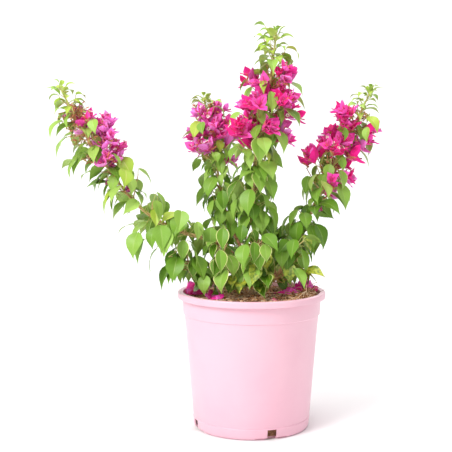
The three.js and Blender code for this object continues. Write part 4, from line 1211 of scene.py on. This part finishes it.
def grow_finer(name, turn):
    growth, mass, arm, draw = draws_for(name, FINE_SEED_STEP * turn)
    mass["shares_arm"] = True
    growth.mates = [other for key, other in grown.items()
                    if key != name and MASSES[key]["arm"] == mass["arm"]]
    if turn == 1:
        for bloom in list(growth.blooms):
            grow_cluster(growth, bloom, draw)
    _, sprouting, sizes = FINER.get(name, FINER_ELSEWHERE)
    low = mass["arm"].startswith("low_")
    if low:
        mass["floor"] = LOW_FLOORS.get(name, LOW_FLOOR)
    along, bud = mass["start"] + (-8.0 if low else 2.0), 0
    shoots = []
    while along < mass["end"] - 1:
        share = max(0.0, (along - mass["start"]) / (mass["end"] - mass["start"]))
        if mass["crown"] and share > mass["bloom"][1]:
            break
        mix = lambda pair: pair[0] + (pair[1] - pair[0]) * share
        place, ahead = arm.at(along), arm.heading(along)
        outward = sideways(ahead, mass["seed"] + 1.7 + bud * GOLDEN_ANGLE)
        droop = math.radians(mix(mass["droop"]) + (draw(-60, 5) if low else draw(-30, 14)))
        blade = mix(mass["leaf"]) * draw(*sizes)
        if draw() <= sprouting:
            if draw() < 0.45:
                way = unit(outward + 0.7 * ahead + (0.3 + mass["lift"]) * UP)
                end = growth.add_twig(place, way, draw(*FINE_SHOOT))
                if end is not None:
                    shoots.append((place, end, way, blade, droop, share))
            else:
                growth.add_leaf(place, outward, blade, droop, tries=5, kind="small")
        along += FINE_SPACING * draw(0.8, 1.2)
        bud += 1
    for place, end, way, blade, droop, share in shoots:
        if mass["bloom"][0] <= share <= mass["bloom"][1] and draw() < 0.6:
            growth.add_bloom(end, unit(way + 0.4 * UP), BLOOM_STALK * 0.7,
                             BRACT_LENGTH * draw(0.6, 0.95), tries=4)
        else:
            growth.add_leaf(end, way, blade, droop, tries=3, kind="small")
        growth.add_leaf((place + end) / 2, turned(way, UP, draw(0.8, 2.2)), blade * 0.9, droop, tries=3,
                        kind="small")
        growth.add_leaf((place + 2 * end) / 3, turned(way, UP, draw(-2.2, -0.8)), blade * 0.8, droop,
                        tries=3, kind="small")
    for twig in list(growth.twigs):
        if draw() < 0.5 * sprouting:
            place = twig["root"] + (twig["tip"] - twig["root"]) * draw(0.35, 0.8)
            way = unit(np.array([draw(-1, 1), draw(-1, 1), draw(-0.1, 0.7)]))
            growth.add_leaf(place, way, mass["leaf"][1] * draw(*sizes), math.radians(draw(20, 70)),
                            tries=3, kind="small")


print("masses with finer growth of their own kind:", len(FINER))

# %% [markdown]
# Some leaves of the picture hang clear of the crown on longer shoots. Their places are read from the
# picture, so they are listed and not drawn. A shoot and its leaf must both find room. If they don't,
# the shoot is tried shorter and longer, and is left out after the last try. These leaves aren't tested
# against other leaves, so they may cross them.

# %% Leaves on longer shoots
HANGING = {  # place along the arm, way and length of the shoot, length and droop of its leaf
    "left_flowers": [(294, (-1, -0.5, 0.1), 16, 34, 66), (304, (-0.9, -0.4, -0.5), 20, 30, 72),
                     (246, (-1, -0.3, 0), 8, 33, 12), (234, (-1, -0.6, -0.2), 12, 34, 72),
                     (334, (-0.8, -0.4, -0.4), 16, 33, 66), (352, (-0.9, -0.3, -0.2), 12, 30, 58)],
    "left_leaves": [(188, (-0.4, -0.5, -0.7), 24, 36, 76), (168, (-0.1, -0.5, -1), 40, 38, 72),
                    (150, (-0.2, -0.6, -0.8), 22, 37, 70), (122, (-0.6, -0.9, 0.2), 12, 34, 60),
                    (178, (0.2, -0.8, -0.4), 16, 38, 60), (138, (-0.5, -0.9, 0.1), 16, 36, 66),
                    (160, (-0.8, -0.4, -0.6), 30, 36, 76), (106, (-0.4, -0.9, 0.3), 14, 34, 64),
                    (158, (-0.1, -0.9, -0.3), 18, 38, 64), (194, (-0.5, -0.9, 0.1), 14, 34, 60)],
    "low_far_left_leaves": [(152, (-1, -0.4, 0.1), 42, 36, 74), (138, (-1, -0.5, 0), 28, 38, 72),
                            (126, (-1, -0.3, 0), 44, 36, 76), (116, (-1, -0.6, 0.1), 24, 36, 70),
                            (145, (-0.8, -0.9, 0.1), 24, 38, 68), (130, (-0.5, -1, 0.1), 20, 36, 66)],
    "right_flowers": [(160, (0.8, -0.4, 0), 14, 38, 74), (226, (0.8, -0.3, -0.3), 14, 32, 60),
                      (268, (0.9, -0.6, 0.1), 12, 28, 58)],
    "tall_flowers": [(302, (1, -0.5, 0.3), 20, 31, 42), (286, (1, -0.4, 0.2), 24, 33, 46),
                     (268, (1, -0.5, 0.1), 22, 33, 50), (284, (0.1, -1, 0.3), 26, 30, 78),
                     (222, (-0.4, -1, 0.1), 26, 38, 74), (236, (0.7, -0.8, 0.1), 24, 34, 66)],
    "back_flowers": [(236, (-0.6, -0.8, 0.1), 18, 28, 66)],
    "right_leaves": [(150, (0.5, -0.9, 0), 18, 36, 72)],
}
SHOOT_SHARES = (1.0, 0.7, 1.3, 0.45)
MASSES["left_flowers"]["sunny"] = np.array([0.7, -0.2, 0.5])
hung = 0
for name, leaves in HANGING.items():
    growth, arm = grown[name], ARMS[MASSES[name]["arm"]]
    for along, way, reach, blade, droop in leaves:
        way, root = unit(np.array(way, float)), arm.at(along)
        for share in SHOOT_SHARES:
            tip = root + way * reach * share
            if growth.twig_has_room(root, tip) and growth.add_leaf(tip, way, blade, math.radians(droop),
                                                                   tries=7, may_touch=True):
                growth.twigs.append(dict(root=root, tip=tip))
                hung += 1
                break
print("leaves hung on longer shoots:", hung, "of", sum(len(leaves) for leaves in HANGING.values()))

# %% [markdown]
# The short shoots at the foot spread leaves just above the mix, some of them mottled yellow. They point
# to every side in front. They aren't tested against other leaves either.

# %% Leaves near the mix
GROUND_LEAVES = {  # how many are tried, and the share that is blotched
    "low_front_leaves": (30, 0.55), "low_front_left_leaves": (20, 0.1), "low_front_right_leaves": (10, 0.5)}
laid = 0
for name, (count, blotched) in GROUND_LEAVES.items():
    growth, mass, arm, draw = draws_for(name, 5)
    mass["floor"] = LOW_FLOORS.get(name, LOW_FLOOR)
    for _ in range(count):
        place = arm.at(draw(5, 42))
        facing = math.radians(draw(-175, -5))
        way = unit(np.array([math.cos(facing), math.sin(facing), draw(-0.15, 0.25)]))
        end = growth.add_twig(place, way, draw(10, 30))
        pose = growth.add_leaf(place if end is None else end, way, draw(26, 36), math.radians(draw(5, 62)),
                               tries=9, kind="small", may_touch=True)
        if pose is not None:
            laid += 1
            if draw() < blotched:
                pose["look"] = "blotched"
print("leaves laid out near the mix:", laid)

# %% [markdown]
# Among the bracts stand a few leaves on twigs of their own, one golden angle apart.

# %% Leaves among the bracts
TUCKED = {"left_flowers": 8, "tall_flowers": 22, "back_flowers": 12, "right_flowers": 14}
tucked = 0
for name, count in TUCKED.items():
    growth, mass, arm, draw = draws_for(name, 11)
    for i in range(count):
        along = mass["start"] + (mass["end"] - mass["start"]) * draw(*mass["bloom"])
        root, outward = arm.at(along), sideways(arm.heading(along), i * GOLDEN_ANGLE)
        end = root + unit(outward + 0.4 * UP) * draw(12, 32)
        blade, droop = draw(20, 28), math.radians(draw(35, 80))
        if growth.twig_has_room(root, end) and growth.add_leaf(end, outward, blade, droop, tries=5,
                                                               kind="small"):
            growth.twigs.append(dict(root=root, tip=end))
            tucked += 1
print("leaves tucked among the bracts:", tucked, "of", sum(TUCKED.values()))

# %% [markdown]
# Each tip carries its youngest leaves in pairs, every pair turned across the one before and smaller the
# nearer it stands to the end. Young leaves stand so close that they may cross.

# %% Young pairs at the tips
TIP_PAIRS = {  # how many pairs, the length of stem that they take up, and their largest blade
    "left_flowers": (5, 46, 24), "tall_flowers": (8, 78, 31), "back_flowers": (4, 26, 20),
    "right_flowers": (5, 40, 24)}
paired = 0
for name, (pairs, span, largest) in TIP_PAIRS.items():
    growth, mass, arm, draw = draws_for(name, 17)
    for i in range(pairs):
        share = (i + 0.4) / pairs
        place = arm.at(arm.length - 1.5 - span * share)
        turn = (0.0, 1.25)[i % 2] + draw(-0.35, 0.35)
        for half in (turn, turn + math.pi):
            way = np.array([math.cos(half), math.sin(half), 0.55 * (1 - share)])
            pose = growth.add_leaf(place, unit(way), largest * (0.45 + 0.55 * share) * draw(0.9, 1.1),
                                   math.radians(draw(-20, 15) + 42 * share), tries=6, kind="young",
                                   may_touch=True)
            paired += pose is not None
print("young leaves in pairs:", paired)

# %% [markdown]
# Now every mass is gone over with the finer growth. A few faded bracts that stand alone in the picture
# come last, at listed places, and only where they find room.

# %% Grow the finer leaves and the stray bracts
STRAY_BRACTS = [  # mass, place along the arm, way it faces, length of its bracts
    ("left_leaves", 119, (0.1, -0.6, -0.8), 14), ("left_flowers", 240, (0.5, -0.8, 0.1), 13),
    ("left_flowers", 262, (-0.6, -0.6, -0.5), 12), ("left_flowers", 275, (0.3, -0.7, 0.4), 13),
    ("left_flowers", 305, (-0.7, -0.4, -0.6), 11), ("right_leaves", 128, (0.8, -0.5, -0.1), 10)]
STRAY_STALK, STRAY_OPENING, STRAY_TURN = 7.0, 0.55, 0.4
for name in MASSES:
    for turn in range(1, 1 + FINER.get(name, FINER_ELSEWHERE)[0]):
        grow_finer(name, turn)
strays = 0
for name, along, way, bract in STRAY_BRACTS:
    mass = MASSES[name]
    stray = bloom_pose(ARMS[mass["arm"]].at(along), unit(np.array(way)), STRAY_STALK, bract, STRAY_OPENING,
                       STRAY_TURN)
    stray["kind"] = "faded"
    if fits([stray["neck"]] + stray["corners"], mass) and not touches_wood(stray["blades"], mass):
        grown[name].blooms.append(stray)
        strays += 1
print("stray bracts:", strays, "of", len(STRAY_BRACTS))
print("with the finer growth:", count_grown())

# %% [markdown]
# ## Joining the sprays
# Each mass becomes a leaf piece and a twig piece, and the flowering ones a bract piece and a flower
# piece too. Colour is dealt out leaf by leaf from the mass's own palette: deep low in the bush, fresh
# on the arms, pale and yellowish at the tips. Every tone is a material of its own and none is an image,
# so the leaves keep their tones wherever the model goes.

# %% Palettes
CREAM_SHARE = {"low_front_left_leaves": 0.8, "low_far_left_leaves": 0.4, "low_front_leaves": 0.6}
LEAF_MATERIALS, LEAF_SLOT = [leaf_rib, young_rib, cream_margin], {}
for kind, looks in leaf_finish.items():
    LEAF_SLOT[kind] = [len(LEAF_MATERIALS) + i for i in range(len(looks))]
    LEAF_MATERIALS += looks
PALETTES = {
    "left_leaves": (("fresh", 0.5), ("mid", 0.46), ("young", 0.04)),
    "left_flowers": (("fresh", 0.75), ("young", 0.1), ("mid", 0.15)),
    "tall_leaves": (("mid", 0.6), ("deep", 0.14), ("fresh", 0.26)),
    "tall_flowers": (("mid", 0.4), ("fresh", 0.5), ("young", 0.1)),
    "back_leaves": (("mid", 0.56), ("deep", 0.06), ("fresh", 0.38)),
    "back_flowers": (("mid", 0.5), ("fresh", 0.4), ("young", 0.1)),
    "right_leaves": (("mid", 0.5), ("deep", 0.45), ("fresh", 0.05)),
    "right_flowers": (("mid", 0.6), ("fresh", 0.3), ("young", 0.1)),
    "low": (("mid", 0.5), ("deep", 0.47), ("blotched", 0.03)),
    "low_front_leaves": (("mid", 0.22), ("deep", 0.48), ("blotched", 0.3)),
    "low_front_right_leaves": (("mid", 0.2), ("deep", 0.58), ("blotched", 0.22)),
    "tip": (("young", 0.45), ("fresh", 0.55)),
}
BRACT_MATERIALS, BRACT_SLOT = [], {}
for kind, looks in bract_finish.items():
    BRACT_SLOT[kind] = [len(BRACT_MATERIALS) + i for i in range(len(looks))]
    BRACT_MATERIALS += looks
# Painted light: the left and back tops, on the side of the light, get mostly pale bracts, and the tall and
# right tops more deep ones, for shade.
BRACT_PALETTES = {
    "left_flowers": (("bright", 0.3), ("pale", 0.7)),
    "tall_flowers": (("bright", 0.46), ("deep", 0.38), ("pale", 0.16)),
    "back_flowers": (("bright", 0.42), ("pale", 0.58)),
    "right_flowers": (("bright", 0.45), ("deep", 0.47), ("pale", 0.08)),
}


def pick(palette, chance):
    for kind, share in palette:
        chance -= share
        if chance <= 0:
            return kind
    return palette[0][0]


# %% [markdown]
# The palette gives each leaf its look, and a seeded draw its variant, its tone and a slight roll about
# its own length. The roll comes after the test for room, so an edge may stand a little outside of where
# it was tested. Leaves near a tip are made smaller the nearer they are to its end.

# %% Leaves and twigs of each mass
stalk_rod, twig_rod, stem_rod, bud_rod = (rod_shape(4, 4), rod_shape(5, 5), rod_shape(10, 60),
                                          rod_shape(5, 6))
GREEN_TIP, YOUNG_SPAN, YOUNG_LEAST = 30.0, 34.0, 0.62
SMALL_ROLL, LARGE_ROLL, CREAM_ELSEWHERE, LOW_STEM_START = 0.55, 0.12, 0.03, 7.0
RIB_OF_YOUNG, CREAM_RIM = 1, 2


def curved(start, leave, end, arrive, steps=6):
    """A smooth line that leaves the start one way and arrives at the end another way."""
    reach = np.linalg.norm(end - start)
    shares = np.linspace(0, 1, steps + 1)[:, None]
    one, two = start + leave * reach / 3, end - arrive * reach / 3
    back = 1 - shares
    return back ** 3 * start + 3 * back ** 2 * shares * one + 3 * back * shares ** 2 * two + shares ** 3 * end


def title_of(name):
    return name.replace("_leaves", "").replace("_flowers", "_top")


def join_mass(name, growth):
    mass, draw = growth.mass, np.random.default_rng(growth.mass["seed"])
    arm = ARMS[mass["arm"]]
    leaves = Joined(title_of(name) + "_foliage", LEAF_MATERIALS)
    stems = Joined(title_of(name) + "_twigs", [bark, young_wood, green_stem])
    palette = PALETTES.get(name, PALETTES["low"])
    stem_start = LOW_STEM_START if mass["arm"].startswith("low_") else mass["start"]
    stem_path = arm.path(stem_start, mass["end"])
    stems.add_rod(stem_rod, stem_path, lambda shares: np.array(
        [arm.radius(stem_start + s * (mass["end"] - stem_start)) for s in shares]), 1)
    if mass["crown"]:
        tip_path = arm.path(mass["end"] - GREEN_TIP, mass["end"])
        stems.add_rod(stem_rod, tip_path, lambda shares: 1.55 - 0.6 * shares, 2)
    tip_from = mass["start"] + (mass["end"] - mass["start"]) * (mass["bloom"][1] + 0.04)
    stations = np.linspace(stem_start, mass["end"], len(stem_path))
    for twig in growth.twigs:
        way = unit(twig["tip"] - twig["root"])
        aside = unit(np.cross(way, UP + 0.01)) * draw.uniform(-0.18, 0.18)
        line = curved(twig["root"], unit(way + aside), twig["tip"], unit(way - aside))
        stems.add_rod(twig_rod, line, lambda shares: 0.95 - 0.35 * shares, draw.integers(0, 3))
    for leaf in growth.leaves:
        young = leaf["kind"] == "young"
        along = stations[np.argmin(np.linalg.norm(stem_path - leaf["root"], axis=1))]
        at_tip = bool(mass["crown"]) and along > tip_from
        if young and draw.random() < 0.6:
            kind = "young"
        else:
            kind = pick(PALETTES["tip"] if at_tip else palette, draw.random())
        kind = leaf.get("look", kind)
        shapes = young_shapes if young or at_tip else leaf_shapes
        shape = shapes[draw.integers(0, len(shapes))]
        if at_tip:
            leaf["blade"] *= YOUNG_LEAST + (1 - YOUNG_LEAST) * min(1.0, (mass["end"] - along) / YOUNG_SPAN)
        slot = int(draw.choice(LEAF_SLOT[kind]))
        creamy = kind in ("mid", "deep") and draw.random() < CREAM_SHARE.get(name, CREAM_ELSEWHERE)
        roll = draw.normal(0, SMALL_ROLL if leaf["kind"] == "small" else LARGE_ROLL)
        side, face = turned(-leaf["side"], leaf["along"], roll), turned(leaf["face"], leaf["along"], roll)
        places = shape.put(leaf["neck"], side, leaf["along"], face, leaf["blade"])
        leaves.add(shape, places, (slot, RIB_OF_YOUNG if kind == "young" else 0,
                                   CREAM_RIM if creamy else slot))
        line = curved(leaf["root"], leaf["rise"], leaf["neck"] + leaf["along"] * 0.5, leaf["along"])
        stems.add_rod(stalk_rod, line, lambda shares: 0.55 - 0.15 * shares, 2)
    leaves.finish("leaves", name)
    stems.finish("bark", name)
    if growth.blooms:
        join_flowers(name, growth, draw)


# %% [markdown]
# A flowering mass gets its bracts, each with a tube in front of it and now and then an open star, and its
# closed flowers. Of the thin bud stalks only the ends are tested for room.

# %% Bracts and flowers of each mass
PANICLES, OPEN_SHARE = 64, 0.14


def bud_radius(shares):
    """A closed flower: a slim tube that swells near its end and closes to a point."""
    return 0.4 + 0.9 * np.sin(np.pi * np.clip(shares, 0, 1) ** 1.6) * (shares < 0.999)


def add_buds(flowers, growth, draw):
    """Three to seven closed flowers stand round each group of bracts, as far as they find room."""
    for bloom in growth.blooms:
        for _ in range(int(draw.integers(3, 8))):
            way = unit(bloom["axis"] + draw.normal(0, 0.7, 3) + 0.3 * UP)
            start = bloom["neck"] - bloom["axis"] * draw.uniform(1, 5)
            end = start + way * draw.uniform(6, 13)
            if fits([end], growth.mass):
                line = curved(start, bloom["axis"], end, unit(way + 0.4 * UP))
                flowers.add_rod(bud_rod, line, bud_radius, draw.choice([0, 3, 3]))


def add_panicles(flowers, growth, draw):
    """Where the flowers end, thin side stalks carry tiny closed buds all round the stem."""
    mass, arm = growth.mass, ARMS[growth.mass["arm"]]
    low, high = mass["bloom"]
    for i in range(PANICLES):
        share = draw.uniform(low + 0.25 * (high - low), min(0.9, high + 0.14))
        along = mass["start"] + (mass["end"] - mass["start"]) * share
        ahead, start = arm.heading(along), arm.at(along)
        outward = sideways(ahead, i * GOLDEN_ANGLE)
        end = start + unit(outward + 0.6 * ahead) * draw.uniform(8, 24)
        if not fits([end], mass):
            continue
        line = curved(start, unit(outward + ahead), end, unit(outward + 0.5 * UP))
        flowers.add_rod(stalk_rod, line, lambda shares: 0.5 - 0.15 * shares, draw.choice([2, 4]))
        for _ in range(int(draw.integers(5, 10))):
            root = line[draw.integers(2, len(line))]
            tip = root + unit(0.7 * outward + 0.4 * UP + draw.normal(0, 0.7, 3)) * draw.uniform(3.5, 8)
            small = 0.45 + 0.25 * draw.random()
            flowers.add_rod(bud_rod, np.linspace(root, tip, 4), lambda shares: small * bud_radius(shares),
                            draw.choice([2, 3, 3, 4]))


def join_flowers(name, growth, draw):
    bracts = Joined(title_of(name) + "_bracts", BRACT_MATERIALS)
    flowers = Joined(title_of(name) + "_stars", [flower_tube, flower_star, green_stem, bud_red, young_wood])
    add_buds(flowers, growth, draw)
    if growth.mass["crown"]:
        add_panicles(flowers, growth, draw)
    for bloom in growth.blooms:
        kind = bloom.get("kind") or pick(BRACT_PALETTES[name], draw.random())
        slots = [int(draw.choice(BRACT_SLOT[kind])) for _ in range(3)]
        line = curved(bloom["root"], bloom["axis"], bloom["neck"] + bloom["axis"] * 0.8, bloom["axis"])
        flowers.add_rod(stalk_rod, line, lambda shares: 0.5, 2)
        for one, slot in zip(bloom["bracts"], slots):
            shape = bract_shapes[draw.integers(0, len(bract_shapes))]
            size = bloom["bract"] * draw.uniform(0.88, 1.04)
            places = shape.put(bloom["neck"], one["side"], one["along"], one["outer"], size)
            bracts.add(shape, places, (slot,))
            inward = unit(one["along"] - 0.25 * one["outer"])
            foot = bloom["neck"] + one["along"] * 1.5 - one["outer"] * 0.8
            top = foot + inward * bloom["bract"] * draw.uniform(0.5, 0.68)
            tube = curved(foot, inward, top, unit(inward + 0.2 * UP))
            flowers.add_rod(tube_shape, tube, lambda shares: 0.75 + 0.35 * shares ** 2, 0)
            if draw.random() < OPEN_SHARE:
                x_axis = unit(np.cross(inward, [0.3, 0.2, 1.0]))
                y_axis = np.cross(inward, x_axis)
                star = star_shape.put(top + inward * 0.3, x_axis, y_axis, inward, draw.uniform(3.0, 4.0))
                flowers.add(star_shape, star, (1,))
    bracts.finish("flowers", name)
    flowers.finish("flowers", name)


# %% [markdown]
# Now every mass is joined. A leafy mass that holds a stray bract gets a bract and a flower piece as well.

# %% Join every mass
for name, growth in grown.items():
    join_mass(name, growth)

# %% [markdown]
# ## Litter on the mix
# A few spent bracts have dropped on the mix and against the wall, and a dried bunch of lilac bracts
# stands at the right of the rim among loose roots. They are the same bract and rod shapes. The fallen
# bracts are listed where the picture shows them, because their places are chance and follow no rule.

# %% Fallen bracts and dried bunch
FALLEN = [
    ((-84, 22, 196.0), 30, -30, 0.7), ((-80, 8, 194.0), 26, 60, 0.5), ((-85, 2, 193.0), 20, 160, 0.4),
    ((-55, -24, 192.0), 27, 20, 0.6), ((-49, -34, 190.5), 22, 130, 0.4), ((46, -12, 191.5), 31, 80, 0.6),
    ((55, -3, 192.5), 24, 20, 0.6), ((80, 12, 196.0), 30, 100, 0.7), ((70, 18, 196.0), 24, 30, 0.5),
    ((30, -50, 188.5), 13, 200, 0.3),
]
litter = Joined("fallen_bracts", BRACT_MATERIALS + [bud_red])
draw = np.random.default_rng(8)
for (x, y, z), size, angle, tip in FALLEN:
    for leaf_turn in (0.0, 1.1):
        turn = Matrix.Rotation(tip, 3, "X") @ Matrix.Rotation(math.radians(angle) + leaf_turn, 3, "Z")
        axes = np.array(turn).T
        shape = bract_shapes[draw.integers(0, len(bract_shapes))]
        place = np.array([x, y, max(z, mix_height(x, y) + 1.5)]) - axes[1] * size / 2
        litter.add(shape, shape.put(place, axes[0], axes[1], axes[2], size),
                   (BRACT_SLOT["bright" if leaf_turn else "deep"][draw.integers(0, 2)],))
for i in range(34):
    foot = np.array([77 + draw.normal(0, 2.5), 20 + draw.normal(0, 4), 190 + draw.uniform(0, 16)])
    way = unit(np.array([draw.normal(0, 0.6), draw.normal(0, 0.6), 1.0]))
    side = unit(np.cross(way, [0.3, 1.0, 0.2]))
    shape = bract_shapes[draw.integers(0, len(bract_shapes))]
    kind = "faded" if draw.random() < 0.7 else "bright"
    places = shape.put(foot, side, way, np.cross(side, way), draw.uniform(5, 9))
    litter.add(shape, places, (BRACT_SLOT[kind][draw.integers(0, 2)],))
litter.finish("flowers")

# %% [markdown]
# Loose roots and straw lie along the right side of the pot. Each one stays inside of the wall or ends
# above the rim.

# %% Loose roots and straw
straw = Joined("loose_roots", [chip_tan, chip_pale, chip_dark])
for i in range(150):
    angle, radius = draw.normal(-0.05, 0.5), draw.uniform(72, 92)
    start = np.array([radius * math.cos(angle), radius * math.sin(angle), 0.0])
    start[2] = mix_height(start[0], start[1]) + draw.uniform(0, 5)
    way = unit(np.array([draw.normal(0.2, 0.8), draw.normal(0, 0.8), draw.uniform(-0.1, 0.5)]))
    end = start + way * draw.uniform(6, 20)
    line = curved(start, way, end, unit(way + draw.normal(0, 0.6, 3) - 0.4 * UP))
    if np.hypot(line[:, 0], line[:, 1]).max() < RIM_INSIDE or line[-1][2] > RIM_HEIGHT + 1:
        thick = draw.uniform(0.25, 0.6)
        straw.add_rod(fibre, line, lambda shares: thick, draw.integers(0, 3))
straw.finish("potting_mix", smooth=False)

# %% [markdown]
# ## Floor and light
# The plant stands on a plain white table that runs up into a white wall in one soft curve, so that from
# the front no edge shows behind it. A large soft key light from the left and front gives the gentle shade
# on the right of the pot. A weak fill light, one from the top and a bright, even world keep the shadows
# pale.

# %% Floor, light and world
SWEEP_HALF_WIDTH, SWEEP_FROM, WALL_FOOT, WALL_BEND, WALL_TOP = 4000, -3000, 900, 700, 3500
sweep_bm = bmesh.new()
SWEEP = [(SWEEP_FROM, 0), (WALL_FOOT, 0)]
SWEEP += [(WALL_FOOT + WALL_BEND * math.sin(a), WALL_BEND - WALL_BEND * math.cos(a))
          for a in np.linspace(0.2, 1.57, 8)]
SWEEP.append((WALL_FOOT + WALL_BEND, WALL_TOP))
line = [sweep_bm.verts.new((-SWEEP_HALF_WIDTH, y, z)) for y, z in SWEEP]
edges = [sweep_bm.edges.new(pair) for pair in zip(line, line[1:])]
made = bmesh.ops.extrude_edge_only(sweep_bm, edges=edges)["geom"]
far_side = [item for item in made if isinstance(item, bmesh.types.BMVert)]
bmesh.ops.translate(sweep_bm, verts=far_side, vec=(2 * SWEEP_HALF_WIDTH, 0, 0))
bmesh.ops.recalc_face_normals(sweep_bm, faces=sweep_bm.faces)
bmesh.ops.scale(sweep_bm, vec=(MM, MM, MM), verts=sweep_bm.verts)
sweep_mesh = bpy.data.meshes.new("white_sweep")
sweep_bm.to_mesh(sweep_mesh)
sweep_bm.free()
sweep_mesh.polygons.foreach_set("use_smooth", np.full(len(sweep_mesh.polygons), True))
sweep_mesh.materials.append(mottled_finish("white_paper", (250, 250, 250), (247, 247, 247), 3.0, 0.3, 0.8))
sweep = bpy.data.objects.new("white_sweep", sweep_mesh)
bpy.context.scene.collection.objects.link(sweep)
sweep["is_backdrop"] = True


def soft_light(name, place, aim, size, power, colour=(1, 1, 1)):
    data = bpy.data.lights.new(name, "AREA")
    data.shape, data.size, data.energy, data.color = "DISK", size, power, colour
    lamp = bpy.data.objects.new(name, data)
    lamp.location = place
    lamp.rotation_euler = (Vector(aim) - Vector(place)).to_track_quat("-Z", "Y").to_euler()
    bpy.context.scene.collection.objects.link(lamp)


soft_light("key", (-1.5, -1.6, 1.9), (0, 0, 0.25), 1.2, 53.0, (1.0, 0.99, 0.97))
soft_light("fill", (1.8, -1.4, 1.0), (0, 0, 0.25), 1.6, 3.0)
soft_light("top", (0.1, -0.1, 2.6), (0, 0, 0.2), 1.2, 27.0)
WORLD_STRENGTH = 0.58
world = bpy.data.worlds.new("studio")
world.use_nodes = True
background = world.node_tree.nodes["Background"]
background.inputs["Color"].default_value = (1.0, 1.0, 1.0, 1.0)
background.inputs["Strength"].default_value = WORLD_STRENGTH
bpy.context.scene.world = world

# %% [markdown]
# The dressed plant's box is printed beside the box of the solids, so that the two can be compared after each
# render. The dressed plant may pass the solids' box by a few millimetres at most, because that box is what
# other scenes measure.

# %% Write the two boxes and finish
visual_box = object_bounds()
for axis, low, high, cad_low, cad_high in zip("XYZ", *visual_box, *cad_box):
    print(axis, "visual", round(low, 4), round(high, 4), "solids", round(cad_low, 4), round(cad_high, 4))
